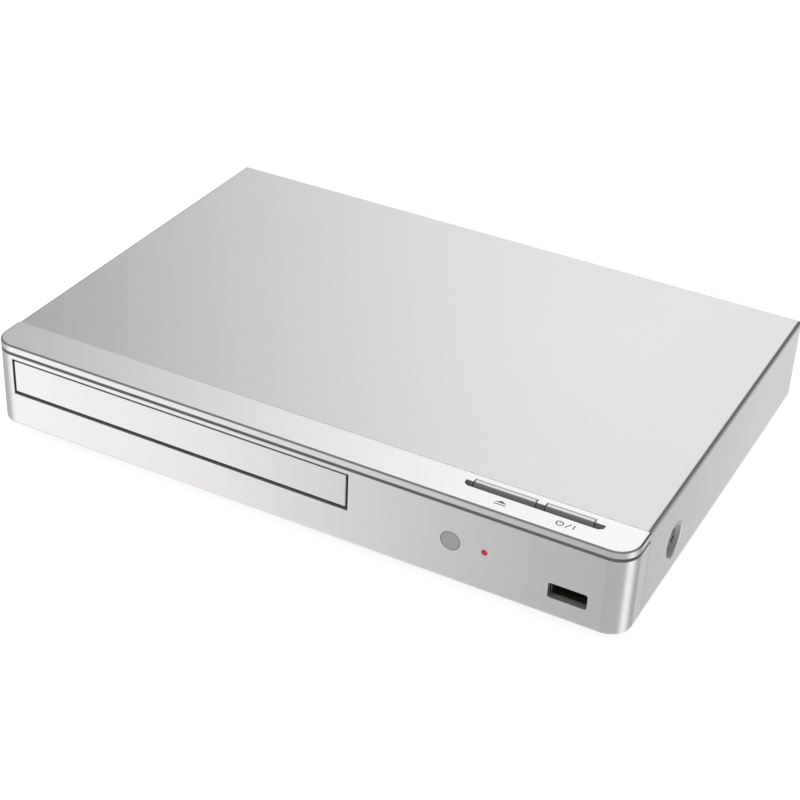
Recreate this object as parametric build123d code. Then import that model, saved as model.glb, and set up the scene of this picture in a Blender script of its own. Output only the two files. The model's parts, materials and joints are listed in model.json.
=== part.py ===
from build123d import *
import math
import os

# A compact disc player. +X is its right side seen from the front, +Y its back and +Z up.
# The origin is on the surface that it stands on, under the middle of its bounding box.
# Sizes are in millimetres, and heights named "rise" are above the casing's underside.

# Casing
case_width = 246.8
case_depth = 170.0
case_height = 33.0
foot_height = 5.5
barrel_reach = 5.0  # coaxial barrel, past the casing's back

# Clearances
seam_gap = 0.3  # still pieces that meet at a seam
run_gap = 0.3  # pieces that slide past each other
fit_gap = 0.1  # a still piece in its seat
shaft_gap = 0.05  # a shaft in its bore
cut_over = 1.0  # by which a cut passes the face that it opens

# Front panel
ledge_depth = 15.3
ledge_wall = 2.2
panel_wall = 2.2
panel_corner = 8.0
panel_edge_round = 0.7
band_height = 2.6
groove_height = 1.3
groove_depth = 0.9
tongue_depth = 4.0
tongue_wall = 1.4
tongue_margin = 8.0
collar_depth = 1.6
collar_wall = 1.1

# Tray door
door_left_margin = 9.45
door_width = 136.4
door_height = 12.8
door_rise = 14.3
door_thickness = 2.4
door_side_gap = 0.8
door_top_gap = 0.6
door_bottom_gap = 1.3
door_edge_round = 0.4
clip_width = 9.0
clip_height = 1.8
clip_reach = 2.6
clip_spacing = 84.0

# Keys in the ledge
slot_right_margin = 13.7
slot_front = 8.2  # behind the front face
slot_trough = 3.1
slot_slant = 1.6
slot_slant_depth = 1.2
key_depth = 1.85
key_slope_run = 1.2
key_slope_drop = 1.5
open_key_length = 22.5
power_key_length = 17.5
key_divider = 2.9
slot_left_cap = 2.4
slot_right_cap = 3.6
key_gap = 0.35
key_round = 0.3
key_flange = 1.4
key_flange_margin = 0.6
key_flange_rear = 1.2
key_stem_radius = 1.5
key_stem_length = 1.8
key_travel = 0.5

# Key board and its switches
board_thickness = 1.6
switch_side = 6.0
switch_height = 3.5
plunger_radius = 1.7
plunger_reach = 0.8
plunger_sink = 0.6
key_board_front_gap = 1.8
key_board_depth = 15.2
key_boss_radius = 2.2
key_boss_margin = 3.6

# Sensor, lamp and USB socket in the front
sensor_right_margin = 61.9
lamp_right_margin = 49.6
sensor_rise = 15.6
sensor_radius = 3.55
lamp_radius = 1.0
window_flange = 1.2
window_flange_depth = 0.9
receiver_width = 7.0
receiver_height = 8.0
receiver_depth = 4.5
receiver_dome_radius = 2.6
lamp_body_radius = 1.5
lamp_body_length = 4.6
lead_side = 0.5
lead_pitch = 2.54
usb_right_margin = 19.9
usb_rise = 10.0
usb_hole_width = 13.7
usb_hole_height = 5.8
usb_hole_corner = 0.9
usb_width = 13.1
usb_height = 5.7
usb_depth = 14.6
usb_sheet = 0.3
usb_tongue_width = 11.1
usb_tongue_thickness = 1.84
usb_tongue_drop = 0.95
usb_tongue_back = 2.0
usb_insulator_depth = 4.0
front_board_left = 7.0
front_board_right = 7.5
front_board_front = 1.0
front_board_depth = 27.0
front_post_margin = 4.0

# Top cover
cover_sheet = 0.8
cover_bend = 1.6
cover_lip = 7.0
cover_lift = 0.85
dimple_from_front = 42.0
dimple_rise = 13.1
dimple_radius = 7.2
dimple_floor = 4.1
dimple_depth = 2.2
rear_screw_spacing = 92.0

# Bottom chassis
chassis_sheet = 1.0
flange_height = 4.5
front_flange = 4.0
front_flange_margin = 18.0
tab_width = 13.0
tab_head = 5.0
post_radius = 2.2
pilot_radius = 1.3
slot_vent_width = 2.4
slot_vent_length = 16.0
slot_vent_pitch = 5.2
floor_vent_count = 9
floor_vent_rows = 2
floor_vent_row_pitch = 24.0
wall_vent_length = 9.0
wall_vent_count = 14
wall_vent_drop = 11.0

# Feet
foot_side_margin = 26.0
foot_front_margin = 24.0
foot_rear_margin = 22.0
foot_radius = 8.0
foot_taper = 0.8
foot_pin_radius = 2.0
foot_barb = 0.5
foot_barb_height = 1.1
pad_radius = 6.0
pad_thickness = 1.6
pad_reach = 0.8

# Screws
screw_radius = 1.2
screw_head_radius = 2.2
screw_head_height = 1.4
screw_length = 6.0
side_screw_length = 4.0
inner_screw_length = 5.0
cover_head_radius = 2.9
side_head_radius = 3.6
cross_width = 0.7
cross_depth = 0.8

# Main board
board_rise = 4.5  # over the chassis floor
main_board_gap = 5.75
main_board_depth = 76.0
board_rear_gap = 2.0
board_post_inset = 4.0
chip_side = 22.0
chip_height = 2.0
sink_side = 34.0
sink_base = 2.6
sink_fin = 1.2
sink_height = 13.0
sink_fin_count = 8
chip_from_rear = 46.0
main_capacitor_radius = 3.1
main_capacitor_height = 8.5
main_capacitor_pitch = 9.0
main_capacitor_count = 4

# Sockets in the rear panel
socket_recess = 0.3  # behind the casing's back
hole_margin = 0.3
lan_width = 16.0
lan_height = 13.4
lan_depth = 21.0
lan_mouth_width = 11.8
lan_mouth_height = 7.6
lan_mouth_depth = 15.0
lan_mouth_rise = 3.4
lan_latch_width = 6.4
lan_latch_height = 2.0
hdmi_width = 15.0
hdmi_height = 5.8
hdmi_depth = 12.0
hdmi_sheet = 0.4
hdmi_chamfer = 1.6
hdmi_tongue_width = 11.0
hdmi_tongue_thickness = 1.0
hdmi_tongue_back = 4.4
hdmi_insulator_depth = 3.0
coax_side = 11.0
coax_height = 13.0
coax_depth = 12.0
coax_nose_radius = 5.3
coax_rise = 7.0
barrel_radius = 4.15
barrel_wall = 0.7
barrel_root = 4.0
barrel_root_radius = 3.85
core_bore_radius = 1.5
core_recess = 1.0

# Power board
power_board_gap = 4.0  # beside the main board
power_side_gap = 0.4  # beside the cover's screw tab
power_front_gap = 10.0  # behind the front board
power_board_width = 28.0
core_width = 22.0
core_depth = 15.0
core_height = 19.0
core_leg = 5.0
winding_bulge = 2.6
core_place_share = 0.49  # of the power board's depth, from its front
bulk_radius = 7.0
bulk_height = 20.0
bulk_round = 1.2
bulk_place_share = 0.69
output_capacitor_radius = 4.0
output_capacitor_height = 14.0
output_place_shares = (0.12, 0.21, 0.3)
inlet_width = 23.0
inlet_height = 12.4
inlet_depth = 20.0
inlet_mouth_width = 16.3
inlet_mouth_height = 7.9
inlet_rim = 0.7
inlet_mouth_depth = 14.5
inlet_rise = 6.4
pin_radius = 1.15
pin_spacing = 8.6
pin_length = 9.6
pin_root = 3.0

# Flat cables
ribbon_thickness = 0.35
ribbon_width = 12.0
ribbon_arch = 5.0
cable_socket_width = 15.0
cable_socket_depth = 5.0
cable_socket_height = 3.4

# Disc and tray
disc_radius = 60.0
small_disc_radius = 40.0
recess_margin = 1.0
seat_rise = 19.8
seat_step = 1.2
tray_floor = 1.3
rim_height = 2.4
rim_front = 6.1
tray_side_rim = 2.0
tray_rear_rim = 3.0
arm_rear_gap = 1.0  # before the loader frame's rear
runner_width = 3.0
runner_height = 2.3
runner_drop = 2.1
arm_width = 5.5
tray_face_wall = 2.0
tray_face_height = 9.4
hub_radius = 19.0
tray_slot_width = 44.0
finger_radius = 11.0
finger_angle = 42.0
tray_edge_round = 1.0

# Rack and gears
gear_module = 1.0
addendum_share = 0.8
dedendum_share = 1.05
pressure_angle = 20.0
backlash = 0.16
rack_side_gap = 2.5
rack_height = 3.8
rack_back = 3.45
rack_lead = 8.0
rack_end_gap = 2.0  # before the end of the tray's arms
drive_teeth = 24
pinion_teeth = 14
mesh_angle = 165.0
gear_height = 3.5
gear_headroom = 0.5
gear_web = 1.6
gear_hub_radius = 4.0
gear_axle_radius = 2.0
drive_gear_back = 17.0  # behind the loader frame's front
pulley_radius = 11.0
pulley_height = 2.5
pulley_groove = 1.1
motor_pulley_radius = 3.2
motor_reach = 33.65  # from the pulley gear's axis, along X
motor_back = 17.0
belt_side = 1.1
motor_radius = 10.0
motor_depth = 8.0
motor_flange = 1.2
motor_flange_thickness = 0.6
motor_shaft_radius = 1.0
motor_shaft_sink = 4.0

# Loader frame
frame_side_gap = 2.0  # beside the tray's runners
frame_wall = 2.0
frame_front = 4.5  # behind the front face
frame_rear_gap = 4.7  # before the rear panel
frame_rise = 1.0  # over the chassis floor
frame_side_height = 20.0
rear_wall_height = 11.5
rail_width = 3.5
rail_height = 2.0
tab_length = 6.0
tab_thickness = 2.0
tab_place_shares = (0.045, 0.4, 0.78)
deck_rise = 8.6
deck_thickness = 2.0
deck_lip = 6.0
lug_width = 4.5
lug_length = 9.0
lug_thickness = 2.5
lug_rise = 3.0
lug_front = 13.0
lug_rear = 14.0
bridge_lug_height = 7.0

# Clamp bridge and clamper
bridge_sheet = 1.0
bridge_width = 38.0
bridge_foot = 9.0
bridge_foot_spread = 24.0
bridge_rib = 1.4
bridge_rib_width = 3.0
clamper_gap = 0.9
clamper_radius = 15.0
clamper_height = 2.0
clamper_float = 0.4
clamper_neck = 12.0
clamper_side_gap = 0.6
clamper_flange = 15.2
clamper_flange_height = 1.2
clamper_recess = 8.2
clamper_rim = 1.6
clamper_rim_height = 1.2
yoke_thickness = 1.0

# Lift frame, cam slider and their hinge
lift_angle = 5.0
disc_lift = 2.4
hinge_rear_gap = 10.0  # before the loader frame's rear
hinge_side_gap = 1.0
hinge_drop = 12.7  # under the playing disc
hinge_pin_radius = 2.0
hinge_pin_length = 5.5
bracket_width = 5.0
bracket_margin = 5.0
lift_bar = 4.0
lift_drop = 11.5  # lower face of its bars, under the playing disc
lift_bar_height = 4.3
lift_front = 15.0
lift_front_bar = 3.5
lift_rear_bar = 7.0
lift_rear_height = 4.4
lift_rear_drop = 14.6
pin_from_middle = -14.0
cam_pin_radius = 1.3
cam_pin_drop = 9.3
cam_slack = 0.25
cam_gap = 2.4
cam_wall = 2.0
cam_shift = 16.0
cam_margin = 3.0
cam_foot = 6.6
cam_foot_thickness = 1.5
cam_foot_left = 5.5
cam_post_from_middle = -35.0
cam_post_radius = 1.8
cam_post_height = 5.2
guide_rib = 1.4
guide_rib_height = 1.8
guide_play = 0.7
hook_wall = 1.6
hook_lip = 0.9
hook_length = 4.0

# Traverse plate and what it carries
plate_drop = 11.7  # lower face, under the playing disc
plate_thickness = 1.0
plate_side_margin = 6.65  # beside the sled's bay
plate_side_gap = 0.6
plate_front = 14.0
plate_rear_gap = 1.5
plate_corner = 3.0
sled_bay_front = 15.0
bay_side_gap = 2.0
damper_inset = 3.4
damper_front = 6.0
damper_rear_margin = 11.0
damper_radius = 3.0
damper_height = 1.5
damper_lug = 6.2
damper_screw_head = 2.4
rod_radius = 1.5
rod_inset = 3.5  # from the sled's sides
rod_rise = 2.3
rod_tab = 4.0
rod_tab_width = 6.0
rod_tab_height = 4.6
spindle_base_radius = 12.5
spindle_base = 1.2
stator_radius = 9.5
stator_height = 3.6
bearing_radius = 2.6
bearing_height = 5.2
spindle_radius = 1.25
spindle_length = 6.2
rotor_radius = 12.8
rotor_wall = 1.1
rotor_drop = 8.4
rotor_height = 5.4
table_radius = 15.0
table_thickness = 1.5
table_neck_radius = 6.0
cone_radius = 7.4
cone_top_radius = 5.6
cone_height = 1.7
feed_side_gap = 6.5  # beside the sled
feed_rise = 1.2
feed_motor_radius = 4.0
feed_motor_front = 4.0
feed_motor_length = 17.0
feed_tab = 3.0
feed_tab_width = 10.0
feed_tab_height = 4.0
screw_thread_radius = 1.5
screw_journal_radius = 1.0
screw_journal_length = 3.0
screw_bearing_width = 5.0
screw_bearing_height = 3.2

# Pickup sled
sled_inner_track = 24.0  # lens from the disc's centre
sled_ahead = 7.0
sled_behind = 15.0
sled_half_width = 24.5
sled_headroom = 0.5
sled_height = 6.7
sled_waist = 5.0
sled_waist_depth = 3.0
nut_ahead = 2.0
nut_length = 6.0
nut_wall = 1.9
actuator_width = 21.0
actuator_depth = 12.0
actuator_height = 2.2
lens_radius = 3.6
lens_height = 1.0
lens_round = 0.6

# Places that follow from the sizes
half_width = case_width / 2
front_y = -(case_depth + barrel_reach) / 2
rear_y = front_y + case_depth
base_z = foot_height
top_z = base_z + case_height
seam_y = front_y + ledge_depth
ledge_under = top_z - ledge_wall
inner_face_y = front_y + panel_wall
floor_z = base_z + chassis_sheet
board_z = floor_z + board_rise
board_top = board_z + board_thickness
wall_rear_y = rear_y - cover_sheet
wall_front_y = wall_rear_y - chassis_sheet
socket_y = rear_y - socket_recess
chassis_half = half_width - cover_sheet - fit_gap
cover_bottom = base_z + cover_lift
dimple_y = front_y + dimple_from_front
dimple_z = base_z + dimple_rise
dimple_inner = half_width - dimple_depth - cover_sheet
screw_tab_x = (dimple_inner - fit_gap - chassis_sheet, dimple_inner - fit_gap)
rear_screw_z = top_z - cover_lip / 2
rear_screw_places = (-rear_screw_spacing, 0, rear_screw_spacing)
screw_hole = screw_radius + fit_gap
feet = [
    (side * (half_width - foot_side_margin), y)
    for side in (-1, 1)
    for y in (front_y + foot_front_margin, rear_y - foot_rear_margin)
]

# Keys
key_front_y = front_y + slot_front + slot_trough
key_rear_y = key_front_y + key_depth
slot_right = half_width - slot_right_margin
power_key_x = (slot_right - slot_right_cap - power_key_length, slot_right - slot_right_cap)
open_key_x = (power_key_x[0] - key_divider - open_key_length, power_key_x[0] - key_divider)
slot_left = open_key_x[0] - slot_left_cap
key_split = (open_key_x[1] + power_key_x[0]) / 2
flange_y = (front_y + slot_front - key_flange_margin, key_rear_y + key_flange_rear)
flange_z = (ledge_under - run_gap - key_flange, ledge_under - run_gap)
stem_y = sum(flange_y) / 2
plunger_top = flange_z[0] - key_stem_length
switch_top = plunger_top - plunger_reach
key_board_top = switch_top - switch_height
key_boss_x = (slot_left - key_boss_margin, slot_right + key_boss_margin)

# Front sockets
sensor_x = half_width - sensor_right_margin
lamp_x = half_width - lamp_right_margin
sensor_z = base_z + sensor_rise
usb_x = half_width - usb_right_margin
usb_z = base_z + usb_rise
usb_y = inner_face_y + fit_gap
front_board_top = usb_z - usb_height / 2
front_board_x = (sensor_x - front_board_left, half_width - front_board_right)
front_board_y = (inner_face_y + front_board_front, inner_face_y + front_board_front + front_board_depth)
front_posts = [
    (x, front_board_y[1] - front_post_margin)
    for x in (front_board_x[0] + front_post_margin, front_board_x[1] - front_post_margin)
]

# Disc, tray and loader frame
tray_x = -half_width + door_left_margin + door_width / 2
door_z = (base_z + door_rise, base_z + door_rise + door_height)
tray_front_y = front_y + door_thickness
recess_radius = disc_radius + recess_margin
tray_half_width = recess_radius + tray_side_rim
disc_y = tray_front_y + rim_front + recess_radius
tray_rear_y = disc_y + recess_radius + tray_rear_rim
seat_z = base_z + seat_rise
small_seat_z = seat_z - seat_step
tray_under = small_seat_z - tray_floor
rim_top = seat_z + rim_height
runner_z = (tray_under - runner_drop, tray_under - runner_drop + runner_height)
runner_half = tray_half_width + runner_width
rail_top = runner_z[0] - run_gap
loader_front_y = front_y + frame_front
loader_rear_y = wall_front_y - frame_rear_gap
arm_rear_y = loader_rear_y - arm_rear_gap
frame_z = (floor_z + frame_rise, floor_z + frame_rise + frame_side_height)
deck_top = floor_z + deck_rise
frame_inner = runner_half + frame_side_gap
frame_half_width = frame_inner + frame_wall
lug_middle = frame_half_width + lug_width / 2
lug_z = (floor_z + lug_rise, floor_z + lug_rise + lug_thickness)
loader_lugs = [
    (tray_x + side * lug_middle, y)
    for side in (-1, 1)
    for y in (loader_front_y + lug_front, loader_rear_y - lug_rear)
]
bridge_lugs = [
    (tray_x + side * lug_middle, disc_y + end * bridge_foot_spread / 2)
    for side in (-1, 1)
    for end in (-1, 1)
]

# Rack, gears and belt
rack_x = tray_x + tray_half_width - rack_side_gap - rack_back - gear_module * dedendum_share
rack_z = (tray_under - rack_height, tray_under)
drive_radius = gear_module * drive_teeth / 2
pinion_radius = gear_module * pinion_teeth / 2
gear_z = (tray_under - gear_headroom - gear_height, tray_under - gear_headroom)
drive_gear_x = rack_x - drive_radius
drive_gear_y = loader_front_y + drive_gear_back
mesh_distance = drive_radius + pinion_radius
pulley_x = drive_gear_x + mesh_distance * math.cos(math.radians(mesh_angle))
pulley_y = drive_gear_y + mesh_distance * math.sin(math.radians(mesh_angle))
pulley_z = (gear_z[0] - run_gap - pulley_height, gear_z[0] - run_gap)
motor_x = pulley_x - motor_reach
motor_y = loader_front_y + motor_back
rack_y = (drive_gear_y - rack_lead, arm_rear_y - rack_end_gap)

# Clamping and lifting, with the lift frame raised
play_z = seat_z + disc_lift
clamper_z = rim_top + clamper_gap
bridge_z = clamper_z + clamper_height + clamper_float
hinge_y = loader_rear_y - hinge_rear_gap
hinge_z = play_z - hinge_drop
lift_z = (play_z - lift_drop, play_z - lift_drop + lift_bar_height)
lift_front_y = disc_y - lift_front - lift_front_bar
plate_z = (play_z - plate_drop, play_z - plate_drop + plate_thickness)
cam_pin_z = play_z - cam_pin_drop
cam_pin_x = tray_x + pin_from_middle
cam_y = (lift_front_y - cam_gap - cam_wall, lift_front_y - cam_gap)
cam_drop = (hinge_y - sum(cam_y) / 2) * math.sin(math.radians(lift_angle))
deck_rear_y = cam_y[0] - run_gap
cam_x = (cam_pin_x - cam_shift - cam_pin_radius - cam_margin, cam_pin_x + cam_pin_radius + cam_margin)
cam_post_x = tray_x + cam_post_from_middle
cam_foot_y = cam_y[1] - cam_foot - cam_wall
cam_post_y = cam_foot_y + hook_lip + run_gap + cam_post_radius
rod_from_middle = sled_half_width - rod_inset
feed_from_middle = sled_half_width + feed_side_gap
nut_from_middle = feed_from_middle + screw_thread_radius + nut_wall / 2
plate_half_width = nut_from_middle + run_gap + plate_side_margin
plate_y = (disc_y - plate_front, hinge_y - lift_rear_bar / 2 - plate_rear_gap)
bay_x = (tray_x - sled_half_width - bay_side_gap, tray_x + nut_from_middle + run_gap)
bay_y = (disc_y + sled_bay_front, plate_y[1] - rod_tab)
lift_half_width = plate_half_width + plate_side_gap + lift_bar
damper_from_middle = plate_half_width - damper_inset
damper_ends = (disc_y - damper_front, plate_y[1] - damper_rear_margin)
dampers = [(tray_x + side * damper_from_middle, y) for side in (-1, 1) for y in damper_ends]
rod_z = plate_z[1] + rod_rise
rod_y = (bay_y[0] - rod_tab, bay_y[1] + rod_tab)
rod_places = (tray_x - rod_from_middle, tray_x + rod_from_middle)
feed_x = tray_x + feed_from_middle
feed_z = plate_z[1] + feed_rise
lens_y = disc_y + sled_inner_track
sled_top = tray_under - sled_headroom
lowered = Axis((0, hinge_y, hinge_z), (1, 0, 0))


def middle(span):
    return (span[0] + span[1]) / 2


def length(span):
    return span[1] - span[0]


def about(centre, size):
    return (centre - size / 2, centre + size / 2)


def rising(start, size):
    return (start, start + size)


def on_side(side, near, far):
    """Span from near to far of the middle, on the right for 1 and on the left for -1."""
    return sorted((side * near, side * far))


def block(x, y, z):
    """Box between two places on each axis."""
    return Pos(middle(x), middle(y), middle(z)) * Box(length(x), length(y), length(z))


def post(x, y, z, radius):
    """Upright cylinder between two heights."""
    return Pos(x, y, middle(z)) * Cylinder(radius, length(z))


def rod_along_y(x, y, z, radius):
    return Pos(x, middle(y), z) * Rot(90, 0, 0) * Cylinder(radius, length(y))


def rod_along_x(x, y, z, radius):
    return Pos(middle(x), y, z) * Rot(0, 90, 0) * Cylinder(radius, length(x))


def slab(plan, z):
    """A plan drawn on the ground, raised between two heights."""
    return Pos(0, 0, z[0]) * extrude(plan, length(z), dir=(0, 0, 1))


def front_cut(x, z, face, y):
    """A face drawn as seen from the front, run between two depths."""
    return Pos(x, y[1], z) * Rot(90, 0, 0) * extrude(face, length(y), dir=(0, 0, 1))


def mirrored(shape):
    """A piece of the loader and its twin across the loader's middle."""
    return [shape, shape.mirror(Plane.YZ.offset(tray_x))]


def past(span, before=cut_over, after=cut_over):
    return (span[0] - before, span[1] + after)


# Front panel
def panel_plan(inset, rear_y):
    """Plan of the panel with its rounded front corners, drawn in by an inset."""
    span = (front_y + inset, rear_y)
    plan = Pos(0, middle(span)) * Rectangle(case_width - 2 * inset, length(span))
    return fillet(plan.vertices().group_by(Axis.Y)[0], panel_corner - inset)


def panel_groove():
    top = top_z - band_height
    outside = Rectangle(case_width + 2 * cut_over, ledge_depth + 2 * cut_over)
    outside = Pos(0, middle((front_y, seam_y))) * outside
    ring = outside - panel_plan(groove_depth, seam_y + 2 * cut_over)
    return slab(ring, (top - groove_height, top))


def tray_opening(margin):
    x = about(tray_x, door_width + 2 * (door_side_gap + margin))
    return x, (door_z[0] - door_bottom_gap - margin, door_z[1] + door_top_gap + margin)


def sloped_block(x, rear_y, z):
    """Block whose front slopes back towards its top, where it ends at the keys' front."""
    foot_y = key_front_y - key_slope_run
    profile = Polygon(
        (foot_y, z[0]),
        (rear_y, z[0]),
        (rear_y, z[1]),
        (key_front_y, z[1]),
        (foot_y, z[1] - key_slope_drop),
        align=None,
    )
    return Pos(x[0], 0, 0) * extrude(Plane.YZ * profile, length(x), dir=(1, 0, 0))


def key_openings():
    """The trough with slanted ends and a sloping back, and the two windows for the keys in its back."""
    trough_front = front_y + slot_front
    slant_y = trough_front + slot_slant_depth
    plan = Polygon(
        (slot_left + slot_slant, trough_front),
        (slot_right - slot_slant, trough_front),
        (slot_right, slant_y),
        (slot_right, key_front_y),
        (slot_left, key_front_y),
        (slot_left, slant_y),
        align=None,
    )
    z = past((ledge_under, top_z))
    back_z = (z[0] - cut_over, top_z)
    trough = slab(plan, z) - sloped_block(past((slot_left, slot_right)), key_front_y + cut_over, back_z)
    window_y = (key_front_y - key_slope_run - key_gap, key_rear_y)
    return [trough] + [block(x, window_y, z) for x in (open_key_x, power_key_x)]


def panel_tongues():
    """Thin tongues behind the panel, over which the top cover's front edge slides."""
    y = (seam_y - panel_wall, seam_y + tongue_depth)
    top = top_z - cover_sheet - fit_gap
    side = half_width - cover_sheet - fit_gap
    upper = block((-half_width + tongue_margin, half_width - tongue_margin), y, (top - tongue_wall, top))
    z = (base_z + tongue_margin, top_z - tongue_margin)
    return [upper] + [block(on_side(end, side - tongue_wall, side), y, z) for end in (-1, 1)]


def front_panel():
    shell = slab(panel_plan(0, seam_y), (base_z, top_z))
    rims = [shell.faces().sort_by(Axis.Z)[end].edges().sort_by(Axis.Y)[:-1] for end in (0, -1)]
    shell = fillet(rims[0] + rims[1], panel_edge_round)
    shell -= slab(panel_plan(panel_wall, seam_y + cut_over), (base_z - cut_over, ledge_under))
    x, z = tray_opening(collar_wall)
    collar = block(x, (inner_face_y, inner_face_y + collar_depth), z)
    bosses = [post(x, stem_y, (key_board_top, ledge_under), key_boss_radius) for x in key_boss_x]
    shell = shell + [collar] + bosses + panel_tongues()
    through = past((front_y, inner_face_y + collar_depth))
    x, z = tray_opening(0)
    holes = [
        block(x, through, z),
        rod_along_y(sensor_x, through, sensor_z, sensor_radius + fit_gap),
        rod_along_y(lamp_x, through, sensor_z, lamp_radius + fit_gap),
        front_cut(usb_x, usb_z, RectangleRounded(usb_hole_width, usb_hole_height, usb_hole_corner), through),
        panel_groove(),
    ]
    pilot_z = past((key_board_top, key_board_top + inner_screw_length))
    pilots = [post(x, stem_y, pilot_z, pilot_radius) for x in key_boss_x]
    return shell - (holes + pilots + key_openings())


def tray_door():
    """The door with two clips behind it that pass into the tray's front wall."""
    y = (front_y, tray_front_y)
    face = RectangleRounded(door_width, door_height, door_edge_round)
    door = front_cut(tray_x, middle(door_z), face, y)
    door = fillet(door.faces().sort_by(Axis.Y)[0].edges(), door_edge_round)
    return door + clips(0)


def clips(margin):
    height = clip_height + 2 * margin
    return [
        block(
            about(tray_x + side * clip_spacing / 2, clip_width + 2 * margin),
            (tray_front_y, tray_front_y + clip_reach),
            about(middle(door_z), height),
        )
        for side in (-1, 1)
    ]


def key(x, flange_x):
    cap_x = (x[0] + key_gap, x[1] - key_gap)
    cap = sloped_block(cap_x, key_rear_y - key_gap, (flange_z[1], top_z))
    cap = fillet(cap.faces().sort_by(Axis.Z)[-1].edges(), key_round)
    stem = post(middle(x), stem_y, (plunger_top, flange_z[0]), key_stem_radius)
    return cap + [block(flange_x, flange_y, flange_z), stem]


def open_key():
    return key(open_key_x, (slot_left - key_flange_margin, key_split - run_gap / 2))


def power_key():
    return key(power_key_x, (key_split + run_gap / 2, slot_right + key_flange_margin))


def plunger(x):
    return post(middle(x), stem_y, (switch_top - plunger_sink, plunger_top), plunger_radius)


def key_board():
    x = (key_boss_x[0] - key_boss_radius, key_boss_x[1] + key_boss_radius)
    y = (inner_face_y + key_board_front_gap, inner_face_y + key_board_front_gap + key_board_depth)
    z = (key_board_top - board_thickness, key_board_top)
    board = block(x, y, z)
    return board - [post(x, stem_y, past(z), screw_hole) for x in key_boss_x]


def key_switches():
    bodies = []
    for x in (open_key_x, power_key_x):
        centre = middle(x)
        body = block(about(centre, switch_side), about(stem_y, switch_side), (key_board_top, switch_top))
        well = (switch_top - plunger_sink - key_travel - fit_gap, switch_top + cut_over)
        bodies.append(body - post(centre, stem_y, well, plunger_radius + fit_gap))
    return bodies[0] + bodies[1]


def window(x, radius):
    """A lens in its hole, with a flange behind the panel."""
    flange = (inner_face_y, inner_face_y + window_flange_depth)
    lens = rod_along_y(x, (front_y, inner_face_y), sensor_z, radius)
    return lens + rod_along_y(x, flange, sensor_z, radius + window_flange)


def leads(x, offsets, y, top):
    return [
        block(about(x + offset, lead_side), about(y, lead_side), (front_board_top, top)) for offset in offsets
    ]


def remote_receiver():
    front = inner_face_y + window_flange_depth + seam_gap
    y = (front, front + receiver_depth)
    z = about(sensor_z, receiver_height)
    body = block(about(sensor_x, receiver_width), (middle(y), y[1]), z)
    dome = rod_along_y(sensor_x, (y[0], middle(y)), sensor_z, receiver_dome_radius)
    return body + [dome] + leads(sensor_x, (-lead_pitch, 0, lead_pitch), y[1] - lead_side, z[0])


def status_lamp():
    front = inner_face_y + window_flange_depth + seam_gap
    y = (front, front + lamp_body_length)
    body = rod_along_y(lamp_x, y, sensor_z, lamp_body_radius)
    body = fillet(body.edges().sort_by(Axis.Y)[0], lamp_body_radius / 2)
    offsets = (-lead_pitch / 4, lead_pitch / 4)
    return body + leads(lamp_x, offsets, middle(y), sensor_z)


def front_board():
    z = (front_board_top - board_thickness, front_board_top)
    board = block(front_board_x, front_board_y, z)
    return board - [post(x, y, past(z), screw_hole) for x, y in front_posts]


def usb_shell():
    y = (usb_y, usb_y + usb_depth)
    shell = front_cut(usb_x, usb_z, RectangleRounded(usb_width, usb_height, usb_hole_corner / 2), y)
    mouth = Rectangle(usb_width - 2 * usb_sheet, usb_height - 2 * usb_sheet)
    return shell - front_cut(usb_x, usb_z, mouth, (y[0] - cut_over, y[1] - usb_sheet))


def usb_tongue():
    back = usb_y + usb_depth - usb_sheet
    top = usb_z + usb_height / 2 - usb_sheet - usb_tongue_drop
    blade_y = (usb_y + usb_tongue_back, back)
    blade = block(about(usb_x, usb_tongue_width), blade_y, (top - usb_tongue_thickness, top))
    inner = 2 * (usb_sheet + fit_gap)
    body_y = (back - usb_insulator_depth, back)
    return blade + block(about(usb_x, usb_width - inner), body_y, about(usb_z, usb_height - inner))


# Casing behind the panel
def dimple(side, start_radius, end_radius, x):
    """Frustum that narrows inwards from the side of the cover."""
    depth = length(x)
    cone = Cone(start_radius, end_radius, depth)
    return Pos(side * (x[1] - depth / 2), dimple_y, dimple_z) * Rot(0, -side * 90, 0) * cone


def top_cover():
    """Folded sheet: top, two sides with a screw dimple each, and a lip down the back."""
    y = (seam_y + seam_gap, rear_y)
    height = top_z - cover_bottom
    profile = Pos(0, middle((cover_bottom, top_z))) * Rectangle(case_width, height)
    profile = fillet(profile.vertices().group_by(Axis.Y)[-1], cover_bend)
    inner_height = height - cover_sheet + cut_over
    inner_middle = top_z - cover_sheet - inner_height / 2
    inside = Pos(0, inner_middle) * Rectangle(case_width - 2 * cover_sheet, inner_height)
    inside = fillet(inside.vertices().group_by(Axis.Y)[-1], cover_bend - cover_sheet)
    cover = front_cut(0, 0, profile - inside, y)
    lip_x = (-half_width + cover_sheet, half_width - cover_sheet)
    cover += block(lip_x, (wall_rear_y, rear_y), (top_z - cover_lip, top_z - cover_sheet))
    outer_radii = (dimple_radius + cover_sheet / 2, dimple_floor + cover_sheet)
    for side in (-1, 1):
        cover += dimple(side, *outer_radii, (dimple_inner, half_width - cover_sheet))
        cover -= dimple(side, dimple_radius, dimple_floor, (dimple_inner + cover_sheet, half_width))
        cover -= rod_along_x(past(on_side(side, dimple_inner, half_width)), dimple_y, dimple_z, screw_hole)
    lip_y = past((wall_rear_y, rear_y))
    return cover - [rod_along_y(x, lip_y, rear_screw_z, screw_hole) for x in rear_screw_places]


def screw_tab(side):
    """Upright tab behind a dimple, which the cover's side screw pulls against."""
    x = on_side(side, *screw_tab_x)
    tab = block(x, about(dimple_y, tab_width), (base_z, dimple_z + tab_head))
    return tab - rod_along_x(past(x), dimple_y, dimple_z, screw_hole)


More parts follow.
